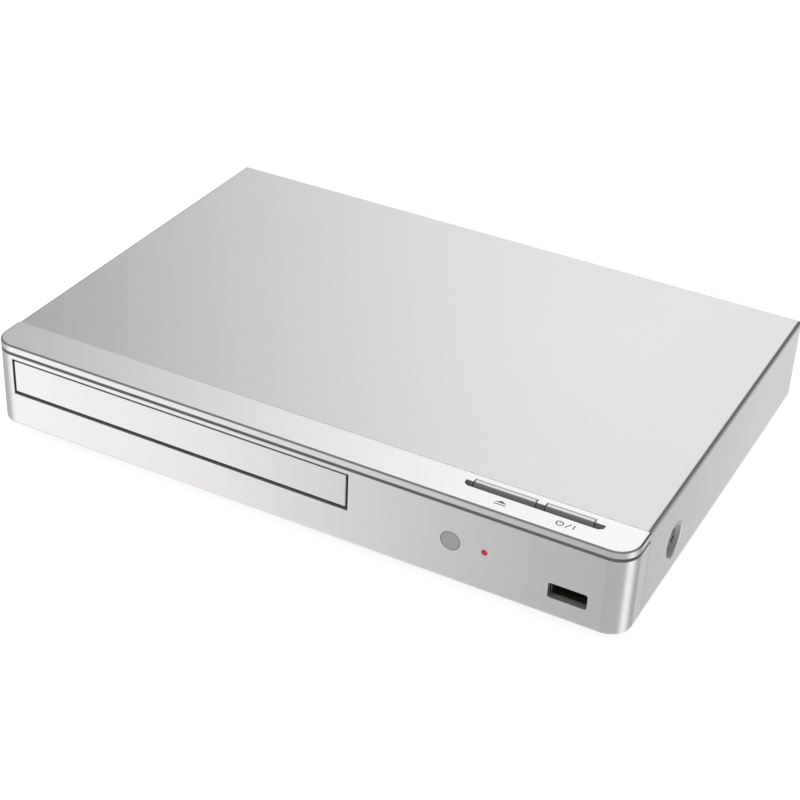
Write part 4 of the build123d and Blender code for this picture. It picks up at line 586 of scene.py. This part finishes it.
panelPaintAndShade = {
    "colour": (0.83, 0.805, 0.83),
    "metallic": 0.95,
    "rough": (0.2, 0.25),
    "flakes": 6000,
    "sparkle": 0.03,
    "bump": 0.006 * mm,
    "holeColour": (0.18, 0.178, 0.18),  # moulding inside the port's hole
    "holeMargin": 0.5 * mm,
    "holeDepth": 0.15 * mm,
    # painted shade in the groove round the panel
    "grooveShadeColour": (0.29, 0.283, 0.29),
    "groove": (panelHigh.z - 3.91 * mm, panelHigh.z - 2.59 * mm),
    # painted shade: the panel's sides darker, to the tone of the cover's side
    "sideShadeColour": (0.72, 0.7, 0.72),
    "sideShadeFade": (panelHigh.x - 1.8 * mm, panelHigh.x - 0.1 * mm),
    "rimColour": (0.29, 0.282, 0.29),  # painted dark reflection on the rounded edge of the ledge
    "rim": (panelHigh.z - 2 * mm, panelHigh.z - 0.01 * mm),
    "rimFacing": 0.3,  # least share of its normal upwards
    # painted shade in the key slot, darker towards its bottom
    "slotShadeColour": (0.08, 0.078, 0.08),
    "slotWide": (openLow.x + 0.5 * mm, powerHigh.x - 0.5 * mm),
    "slotDeep": (openLow.y + 0.5 * mm, openLow.y + 3.65 * mm),
    "slotFade": (panelHigh.z - 0.2 * mm, panelHigh.z - 1.5 * mm),  # heights of its shades
    "slotShades": (0.86, 0.98),
    "keyGapLight": (openHigh.y - 1.55 * mm, openHigh.y - 0.65 * mm),  # behind the keys, where pale walls paint light into the gap
    # painted light in the shaded gap round the door: grey walls and a paler floor
    "doorGapLightColour": (0.2, 0.195, 0.2),
    "doorFloorLightColour": (0.24, 0.234, 0.24),
    "gapMargin": 2.6 * mm,  # round the door
    "gapDepth": 0.1 * mm,
}


def holeMask(tree):
    margin = panelPaintAndShade["holeMargin"]
    return boxMask(
        tree,
        X=(portLow.x - margin, portHigh.x + margin),
        Y=(panelLow.y + panelPaintAndShade["holeDepth"], portHigh.y),
        Z=(portLow.z - margin, portHigh.z + margin),
    )


def doorMask(tree, top):
    margin = panelPaintAndShade["gapMargin"]
    return boxMask(
        tree,
        X=(doorLow.x - margin, doorHigh.x + margin),
        Y=(panelLow.y + panelPaintAndShade["gapDepth"], doorHigh.y + margin),
        Z=(doorLow.z - margin, top),
    )


# painted light on the walls of the gap round the door
def doorGapLightMask(tree):
    return doorMask(tree, doorHigh.z + panelPaintAndShade["gapMargin"])


# painted light on the floor of the gap under the door
def doorFloorLightMask(tree):
    return doorMask(tree, doorLow.z + panelPaintAndShade["gapDepth"])


# painted light on the door's own edges in the gap
def doorEdgeLightMask(tree):
    return boxMask(tree, Y=(doorLow.y + panelPaintAndShade["gapDepth"], placeBox["reach"]))


# painted light on the walls of the gap behind the keys
def keyGapLightMask(tree):
    return edgeMask(tree, "Y", panelPaintAndShade["keyGapLight"])


# painted shade on the panel's sides
def sideShadeMask(tree):
    return addMapRange(tree, addMath(tree, "ABSOLUTE", partPlace(tree)["X"]), *panelPaintAndShade["sideShadeFade"], 0, 1)


# painted dark reflection along the ledge's rounded front edge
def rimReflectionMask(tree):
    return edgeMask(tree, "Z", panelPaintAndShade["rim"], panelPaintAndShade["rimFacing"])


# painted shade in the key slot and on the keys' front slopes
def slotShadeMask(tree):
    look = panelPaintAndShade
    below = (-placeBox["reach"], look["rim"][1])
    inside = boxMask(tree, X=look["slotWide"], Y=look["slotDeep"], Z=below)
    shade = addMapRange(tree, partPlace(tree)["Z"], *look["slotFade"], *look["slotShades"])
    return addMath(tree, "MULTIPLY", inside, shade)


# painted shade in the groove round the panel
def grooveShadeMask(tree):
    return boxMask(tree, Z=panelPaintAndShade["groove"])


signRow = panelLow.y + 5 * mm  # middle of the printed row
ledgeSigns = {  # printed in front of the keys
    "ink": (0.07, 0.07, 0.072),
    "line": 0.46 * mm,
    "openPlace": (openLow.x + 15.7 * mm, signRow),
    "openWidth": 4.2 * mm,
    "openWedge": 1.3 * mm,
    "openGap": 0.85 * mm,  # from the wedge's base to the bar's middle
    "standbyPlace": (powerLow.x + 9.2 * mm, signRow),
    "standbyRadius": 1.15 * mm,
    "standbyGap": 0.9 * mm,
    "stemLength": 1.2 * mm,
    "stemRise": 0.805 * mm,  # of its middle over the ring's
    "slashPlace": (powerLow.x + 12.1 * mm, signRow),
    "slashLength": 2.9 * mm,
    "slashLean": 30,  # degrees
    "onPlace": (powerLow.x + 14 * mm, signRow),
    "onLength": 2.2 * mm,
}


def openSign(tree):
    x, y = ledgeSigns["openPlace"]
    wedge = wedgeMask(tree, (x, y), ledgeSigns["openWidth"], ledgeSigns["openWedge"])
    bar = lineMask(tree, (x, y - ledgeSigns["openGap"]), ledgeSigns["openWidth"], ledgeSigns["line"], 90)
    return addMath(tree, "MAXIMUM", wedge, bar)


def standbySign(tree):
    look = ledgeSigns
    x, y = look["standbyPlace"]
    ring = ringMask(tree, (x, y), look["standbyRadius"], look["line"], look["standbyGap"])
    stem = lineMask(tree, (x, y + look["stemRise"]), look["stemLength"], look["line"], 0)
    slash = lineMask(tree, look["slashPlace"], look["slashLength"], look["line"], look["slashLean"])
    on = lineMask(tree, look["onPlace"], look["onLength"], look["line"], 0)
    standby = addMath(tree, "MAXIMUM", ring, stem)
    return addMath(tree, "MAXIMUM", standby, addMath(tree, "MAXIMUM", slash, on))


# painted shade in the slot and on the keys' front slopes
slotShade = (slotShadeMask, panelPaintAndShade["slotShadeColour"], 1.0)
# painted light in the gap behind the keys
keyGapLight = (keyGapLightMask, coverShadeAndLight["gapWallLightColour"], 1.0)
# the port's moulding and print, with painted shade and light in the gaps, groove, slot and rim and on the
# sides
panelCovers = [
    (sideShadeMask, panelPaintAndShade["sideShadeColour"], 0.0),
    (holeMask, panelPaintAndShade["holeColour"], 1.0),
    (doorGapLightMask, panelPaintAndShade["doorGapLightColour"], 1.0),
    (doorFloorLightMask, panelPaintAndShade["doorFloorLightColour"], 1.0),
    (grooveShadeMask, panelPaintAndShade["grooveShadeColour"], 1.0),
    (seamLightMask, coverShadeAndLight["gapWallLightColour"], 1.0),
    (rimReflectionMask, panelPaintAndShade["rimColour"], 0.0),
    slotShade,
    keyGapLight,
    (openSign, ledgeSigns["ink"], 1.0),
    (standbySign, ledgeSigns["ink"], 1.0),
]
dress("panel", silverPaint("panelPaintAndShade", panelPaintAndShade, panelCovers))
# the door's edges carry the painted light of the gap
dress("door", silverPaint("doorPaintAndShade", panelPaintAndShade, [(doorEdgeLightMask, panelPaintAndShade["doorGapLightColour"], 1.0)]))
# the keys share the panel's painted shade in the slot and the painted light behind them
keyPaintAndShade = {**panelPaintAndShade, "colour": (0.67, 0.65, 0.67)}
dress("keys", silverPaint("keyPaintAndShade", keyPaintAndShade, [slotShade, keyGapLight]))
print("paint given to the casing")

metals = {  # finish by slot
    "sheet": {
        "colour": (0.56, 0.56, 0.57), "rough": (0.3, 0.45),
        "spangles": 800, "drift": 0.05, "bump": 0.01 * mm,
    },
    "bridge": {
        "colour": (0.62, 0.62, 0.63), "rough": (0.25, 0.38),
        "spangles": 800, "drift": 0.05, "bump": 0.01 * mm,
    },
    "screw": {
        "colour": (0.55, 0.55, 0.56), "rough": (0.25, 0.4),
        "spangles": 900, "drift": 0.1, "bump": 0.01 * mm,
    },
    "socket_metal": {
        "colour": (0.6, 0.59, 0.57), "rough": (0.22, 0.34),
        "spangles": 800, "drift": 0.06, "bump": 0.006 * mm,
    },
    "motor": {
        "colour": (0.58, 0.58, 0.59), "rough": (0.28, 0.4),
        "spangles": 700, "drift": 0.07, "bump": 0.008 * mm,
    },
    "yoke": {
        "colour": (0.5, 0.5, 0.51), "rough": (0.3, 0.42),
        "spangles": 900, "drift": 0.08, "bump": 0.01 * mm,
    },
    "barrel": {
        "colour": (0.68, 0.67, 0.64), "rough": (0.14, 0.22),
        "spangles": 1200, "drift": 0.04, "bump": 0.004 * mm,
    },
    "rod": {
        "colour": (0.7, 0.7, 0.71), "rough": (0.12, 0.2),
        "spangles": 1500, "drift": 0.05, "bump": 0.005 * mm,
    },
    "sink": {
        "colour": (0.62, 0.62, 0.63), "rough": (0.35, 0.5),
        "spangles": 1100, "drift": 0.06, "bump": 0.03 * mm,
    },
    "sled": {
        "colour": (0.4, 0.4, 0.41), "rough": (0.42, 0.55),
        "spangles": 1500, "drift": 0.12, "bump": 0.04 * mm,
    },
    "pins": {
        "colour": (0.72, 0.6, 0.36), "rough": (0.2, 0.3),
        "spangles": 1500, "drift": 0.05, "bump": 0.005 * mm,
    },
}
for slot, look in metals.items():
    dress(slot, platedMetal(slot + "Metal", look))

coverScrew = {
    "colour": (0.13, 0.13, 0.135), "rough": (0.28, 0.4),
    "spangles": 900, "drift": 0.1, "bump": 0.01 * mm,
}
dressNode("cover_screws", platedMetal("coverScrew", coverScrew))
print("metals given")

plastics = {  # finish by slot
    "foot": {
        "colour": (0.03, 0.03, 0.032), "rough": (0.42, 0.55),
        "grains": 2600, "drift": 0.25, "bump": 0.04 * mm,
    },
    "pad": {
        "colour": (0.05, 0.05, 0.052), "rough": (0.7, 0.85),
        "grains": 1800, "drift": 0.3, "bump": 0.06 * mm,
    },
    "insulator": {
        "colour": (0.02, 0.02, 0.021), "rough": (0.36, 0.48),
        "grains": 3200, "drift": 0.2, "bump": 0.02 * mm,
    },
    "switch": {
        "colour": (0.03, 0.03, 0.03), "rough": (0.35, 0.45),
        "grains": 3200, "drift": 0.2, "bump": 0.02 * mm,
    },
    "chip": {
        "colour": (0.026, 0.026, 0.028), "rough": (0.55, 0.65),
        "grains": 4200, "drift": 0.2, "bump": 0.03 * mm,
    },
    "loader": {
        "colour": (0.024, 0.024, 0.026), "rough": (0.4, 0.52),
        "grains": 2400, "drift": 0.25, "bump": 0.04 * mm,
    },
    "tray": {
        "colour": (0.03, 0.03, 0.033), "rough": (0.38, 0.5),
        "grains": 2200, "drift": 0.2, "bump": 0.03 * mm,
    },
    "lift": {
        "colour": (0.04, 0.04, 0.043), "rough": (0.45, 0.58),
        "grains": 2600, "drift": 0.2, "bump": 0.04 * mm,
    },
    "turntable": {
        "colour": (0.035, 0.035, 0.037), "rough": (0.32, 0.42),
        "grains": 2800, "drift": 0.15, "bump": 0.02 * mm,
    },
    "core": {
        "colour": (0.075, 0.072, 0.07), "rough": (0.6, 0.72),
        "grains": 1600, "drift": 0.2, "bump": 0.05 * mm,
    },
    "belt": {
        "colour": (0.028, 0.027, 0.027), "rough": (0.62, 0.75),
        "grains": 2000, "drift": 0.2, "bump": 0.03 * mm,
    },
    "damper": {
        "colour": (0.16, 0.05, 0.03), "rough": (0.6, 0.75),
        "grains": 1800, "drift": 0.2, "bump": 0.04 * mm,
    },
    "gear": {
        "colour": (0.78, 0.77, 0.73), "rough": (0.35, 0.45),
        "grains": 2200, "drift": 0.05, "bump": 0.02 * mm,
    },
    "cam": {
        "colour": (0.68, 0.67, 0.62), "rough": (0.38, 0.5),
        "grains": 2200, "drift": 0.06, "bump": 0.03 * mm,
    },
    "clamper": {
        "colour": (0.74, 0.73, 0.7), "rough": (0.36, 0.46),
        "grains": 2200, "drift": 0.05, "bump": 0.02 * mm,
    },
    "plunger": {
        "colour": (0.7, 0.68, 0.62), "rough": (0.35, 0.45),
        "grains": 2600, "drift": 0.05, "bump": 0.02 * mm,
    },
    "cable_socket": {
        "colour": (0.7, 0.66, 0.55), "rough": (0.4, 0.5),
        "grains": 2400, "drift": 0.06, "bump": 0.02 * mm,
    },
    "power_board": {
        "colour": (0.36, 0.24, 0.1), "rough": (0.45, 0.6),
        "grains": 900, "drift": 0.15, "bump": 0.02 * mm,
    },
    "lamp_lens": {
        "colour": (0.66, 0.01, 0.02), "rough": (0.15, 0.25),
        "grains": 3000, "drift": 0.05, "bump": 0.005 * mm, "coat": 0.5,
    },
    "lamp": {
        "colour": (0.6, 0.02, 0.02), "rough": (0.1, 0.18),
        "grains": 3000, "drift": 0.05, "bump": 0.004 * mm, "coat": 0.5,
    },
    "receiver": {
        "colour": (0.02, 0.014, 0.016), "rough": (0.08, 0.16),
        "grains": 3000, "drift": 0.1, "bump": 0.005 * mm, "coat": 0.4,
    },
    "capacitor": {
        "colour": (0.02, 0.03, 0.09), "rough": (0.2, 0.3),
        "grains": 1500, "drift": 0.1, "bump": 0.01 * mm,
    },
    "coax": {
        "colour": (0.75, 0.22, 0.02), "rough": (0.35, 0.45),
        "grains": 2500, "drift": 0.06, "bump": 0.02 * mm,
    },
    "winding": {
        "colour": (0.75, 0.55, 0.05), "rough": (0.3, 0.4),
        "grains": 900, "drift": 0.1, "bump": 0.02 * mm,
    },
    "lens": {
        "colour": (0.5, 0.55, 0.75), "rough": (0.03, 0.06),
        "grains": 3000, "drift": 0.05, "bump": 0.001 * mm, "coat": 0.8,
    },
}
for slot, look in plastics.items():
    dress(slot, mouldedPlastic(slot + "Plastic", look))

windowSmoke = {
    "colour": (0.45, 0.435, 0.45), "rough": (0.25, 0.32),
    "grains": 3000, "drift": 0.04, "bump": 0.005 * mm, "coat": 0.4,
    "rimColour": (0.3, 0.29, 0.3),
    "rimInside": 3.25 * mm,  # radius where the dark rim starts
}
windowLow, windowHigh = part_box("sensor_window")


def windowRimMask(tree):
    place = partPlace(tree)
    x = addMath(tree, "SUBTRACT", place["X"], (windowLow.x + windowHigh.x) / 2)
    z = addMath(tree, "SUBTRACT", place["Z"], (windowLow.z + windowHigh.z) / 2)
    return addMath(tree, "GREATER_THAN", squareSum(tree, x, z), windowSmoke["rimInside"] ** 2)


windowCovers = [(windowRimMask, windowSmoke["rimColour"])]
dress("window", mouldedPlastic("windowSmoke", windowSmoke, windowCovers))

portTongue = {
    "colour": (0.1, 0.1, 0.102), "rough": (0.36, 0.48),
    "grains": 3200, "drift": 0.15, "bump": 0.02 * mm,
}
dressNode("usb_tongue", mouldedPlastic("portTongue", portTongue))

boardMask = {
    "colour": (0.015, 0.11, 0.045), "rough": (0.25, 0.4), "grains": 900, "coat": 0.3,
    "trackColour": (0.03, 0.2, 0.08),
    "track": (3.2 * mm, 0.9 * mm),  # length and width of the copper's pattern
    "trackGap": 0.12 * mm,
    "drift": 0.2,
    "bump": 0.03 * mm,
}


def boardFinish(look):
    material, tree, shader = newFinish("boardMask", look)
    grain = useGroup(tree, grainGroup, Grains_per_Metre=look["grains"])
    place = tree.nodes.new("ShaderNodeTexCoord")
    bricks = addNode(tree, "ShaderNodeTexBrick", Scale=1, Mortar_Size=look["trackGap"])
    bricks.inputs["Brick Width"].default_value, bricks.inputs["Row Height"].default_value = look["track"]
    tree.links.new(place.outputs["Object"], bricks.inputs["Vector"])
    ground = tint(tree, grain["Tone"], look["trackColour"], look["drift"])
    colour = mixColour(tree, bricks.outputs["Fac"], ground, look["colour"])
    tree.links.new(colour, shader.inputs["Base Color"])
    roughFrom(tree, grain["Tone"], shader, look)
    bumpFrom(tree, bricks.outputs["Fac"], shader, look["bump"], finishKit["plasticRelief"])
    return material


dress("board", boardFinish(boardMask))

ribbonFilm = {
    "colour": (0.78, 0.78, 0.76), "rough": (0.3, 0.42), "grains": 1500, "drift": 0.05,
    "wireColour": (0.5, 0.47, 0.42),
    "pitch": 1 * mm,  # from wire to wire
    "wireEdge": (0.2, 0.6),  # heights of the wave where a wire starts to show
    "bump": 0.05 * mm,
}


def ribbonFinish(name, look, across):
    material, tree, shader = newFinish(name, look)
    grain = useGroup(tree, grainGroup, Grains_per_Metre=look["grains"])
    turns = addMath(tree, "MULTIPLY", partPlace(tree)[across], 2 * math.pi / look["pitch"])
    wires = addMath(tree, "SINE", turns)
    film = tint(tree, grain["Tone"], look["colour"], look["drift"])
    mask = addMapRange(tree, wires, *look["wireEdge"], 0, 1)
    tree.links.new(mixColour(tree, mask, film, look["wireColour"]), shader.inputs["Base Color"])
    roughFrom(tree, grain["Tone"], shader, look)
    bumpFrom(tree, wires, shader, look["bump"], finishKit["plasticRelief"])
    return material


dressNode("front_cable", ribbonFinish("frontRibbon", ribbonFilm, "X"))
dressNode("loader_cable", ribbonFinish("loaderRibbon", ribbonFilm, "Y"))
print("finishes given:", len(bpy.data.materials))


# Contacts in the sockets

contactGold = {
    "colour": (0.83, 0.65, 0.3), "rough": (0.18, 0.28),
    "spangles": 1500, "drift": 0.05, "bump": 0.003 * mm,
}
contactFinish = platedMetal("contactGold", contactGold)


def evenRow(count, pitch):
    return [(i - (count - 1) / 2) * pitch for i in range(count)]


def addStrips(name, look, origin):
    shape = bmesh.new()
    for across in look["across"]:
        rows = []  # four corners at each point of the path
        for i, (run, rise) in enumerate(look["path"]):
            before = look["path"][max(i - 1, 0)]
            after = look["path"][min(i + 1, len(look["path"]) - 1)]
            way = Vector((after[0] - before[0], after[1] - before[1])).normalized() * look["thickness"] / 2
            for side in (-1, 1):
                for edge in (-1, 1):
                    x = across + side * look["width"] / 2
                    rows.append((x, run - edge * way.y, rise + edge * way.x))
        made = [shape.verts.new(origin + Vector(p) * mm) for p in rows]
        order = (0, 1, 3, 2)  # round the strip
        shape.faces.new([made[k] for k in order])
        shape.faces.new([made[len(made) - 4 + k] for k in reversed(order)])
        for i in range(len(look["path"]) - 1):
            for k in range(4):
                a, b = order[k], order[(k + 1) % 4]
                shape.faces.new([made[4 * i + b], made[4 * i + a], made[4 * i + 4 + a], made[4 * i + 4 + b]])
    bmesh.ops.recalc_face_normals(shape, faces=shape.faces)
    mesh = bpy.data.meshes.new(name)
    shape.to_mesh(mesh)
    shape.free()
    mesh.materials.append(contactFinish)
    strips = bpy.data.objects.new(name, mesh)
    bpy.context.scene.collection.objects.link(strips)
    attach(strips, "casing")


portContacts = {  # millimetres from the middle of the tongue's front edge, under the tongue
    "across": (-3.5, -1, 1, 3.5), "width": 1.0, "thickness": 0.12,
    "path": ((1.2, -0.36), (1.5, -0.52), (2.4, -0.56), (4.2, -0.34), (7.6, -0.34)),
}
tongueLow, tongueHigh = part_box("usb_tongue")
addStrips("usb_contacts", portContacts, Vector((
    (tongueLow.x + tongueHigh.x) / 2, tongueLow.y, (tongueLow.z + tongueHigh.z) / 2)))

videoContacts = {  # from the middle of the tongue's front edge, on its upper face
    "across": evenRow(count=10, pitch=1), "width": 0.45, "thickness": 0.06,
    "path": ((-4.2, 0.54), (-2.5, 0.55), (-0.9, 0.55), (-0.5, 0.53)),
}
tongueLow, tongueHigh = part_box("hdmi_tongue")
addStrips("hdmi_contacts", videoContacts, Vector((
    (tongueLow.x + tongueHigh.x) / 2, tongueHigh.y, (tongueLow.z + tongueHigh.z) / 2)))

networkContacts = {  # from the middle of the jack's mouth at its lower front edge
    "across": evenRow(count=8, pitch=1.02), "width": 0.42, "thickness": 0.32,
    "path": ((-2.6, 12.3), (-3.2, 12.0), (-5, 11.2), (-9, 9.4), (-12.6, 7.8), (-13.4, 7.6)),
}
jackLow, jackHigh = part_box("lan_jack")
addStrips("network_contacts", networkContacts, Vector((
    (jackLow.x + jackHigh.x) / 2, jackHigh.y, jackLow.z)))
print("contacts added")


# Lead screw with its thread, as long and as thick as the plain one

leadThread = {
    "radius": 1.5 * mm,
    "root": 1.34 * mm,
    "pitch": 1.2 * mm,
    "slices": 12,  # along one pitch
    "steps": 24,  # round the screw
    "endReach": 0.5 * mm,
}
threadSteel = {
    "colour": (0.66, 0.66, 0.67), "rough": (0.16, 0.26),
    "spangles": 1500, "drift": 0.05, "bump": 0.004 * mm,
}


def addLeadThread(look):
    points = [vertex.co.copy() for vertex in nodes["lead_screw"].data.vertices]
    least, most = min(p.y for p in points), max(p.y for p in points)
    fronts = [p for p in points if p.y < least + look["endReach"]]
    backs = [p for p in points if p.y > most - look["endReach"]]
    front = sum(fronts, Vector()) / len(fronts)
    back = sum(backs, Vector()) / len(backs)
    axis = (back - front).normalized()
    runs = [(p - front).dot(axis) for p in points]
    reaches = [(p - front - axis * run).length for p, run in zip(points, runs)]
    # the thread runs where the plain screw is thick, and its ends stay thin
    thick = [run for run, reach in zip(runs, reaches) if reach > (look["radius"] + min(reaches)) / 2]
    thin = max(reach for run, reach in zip(runs, reaches) if run < min(thick) - look["endReach"])
    side = axis.orthogonal().normalized()
    up = axis.cross(side)
    count = round((max(thick) - min(thick)) / look["pitch"] * look["slices"])
    slices = [min(thick) + (max(thick) - min(thick)) * i / count for i in range(count + 1)]
    sections = [(run, True) for run in slices]
    sections = [(min(runs), False), (min(thick), False), *sections, (max(thick), False), (max(runs), False)]
    shape = bmesh.new()
    rings = []
    for run, threaded in sections:
        ring = []
        for k in range(look["steps"]):
            turn = k / look["steps"]
            wave = abs(2 * ((run / look["pitch"] - turn) % 1) - 1)
            reach = look["root"] + (look["radius"] - look["root"]) * wave if threaded else thin
            angle = 2 * math.pi * turn
            spoke = side * math.cos(angle) + up * math.sin(angle)
            ring.append(shape.verts.new(front + axis * run + spoke * reach))
        rings.append(ring)
    for first, second in zip(rings, rings[1:]):
        for k in range(look["steps"]):
            after = (k + 1) % look["steps"]
            shape.faces.new((first[k], first[after], second[after], second[k]))
    shape.faces.new(rings[0][::-1])
    shape.faces.new(rings[-1])
    bmesh.ops.recalc_face_normals(shape, faces=shape.faces)
    mesh = bpy.data.meshes.new("lead_screw_thread")
    shape.to_mesh(mesh)
    shape.free()
    mesh.materials.append(platedMetal("threadSteel", threadSteel))
    screw = bpy.data.objects.new("lead_screw_thread", mesh)
    bpy.context.scene.collection.objects.link(screw)
    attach(screw, "lead_screw")
    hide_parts("lead_screw")
    print("thread cut on the lead screw:", len(slices), "slices")


addLeadThread(leadThread)
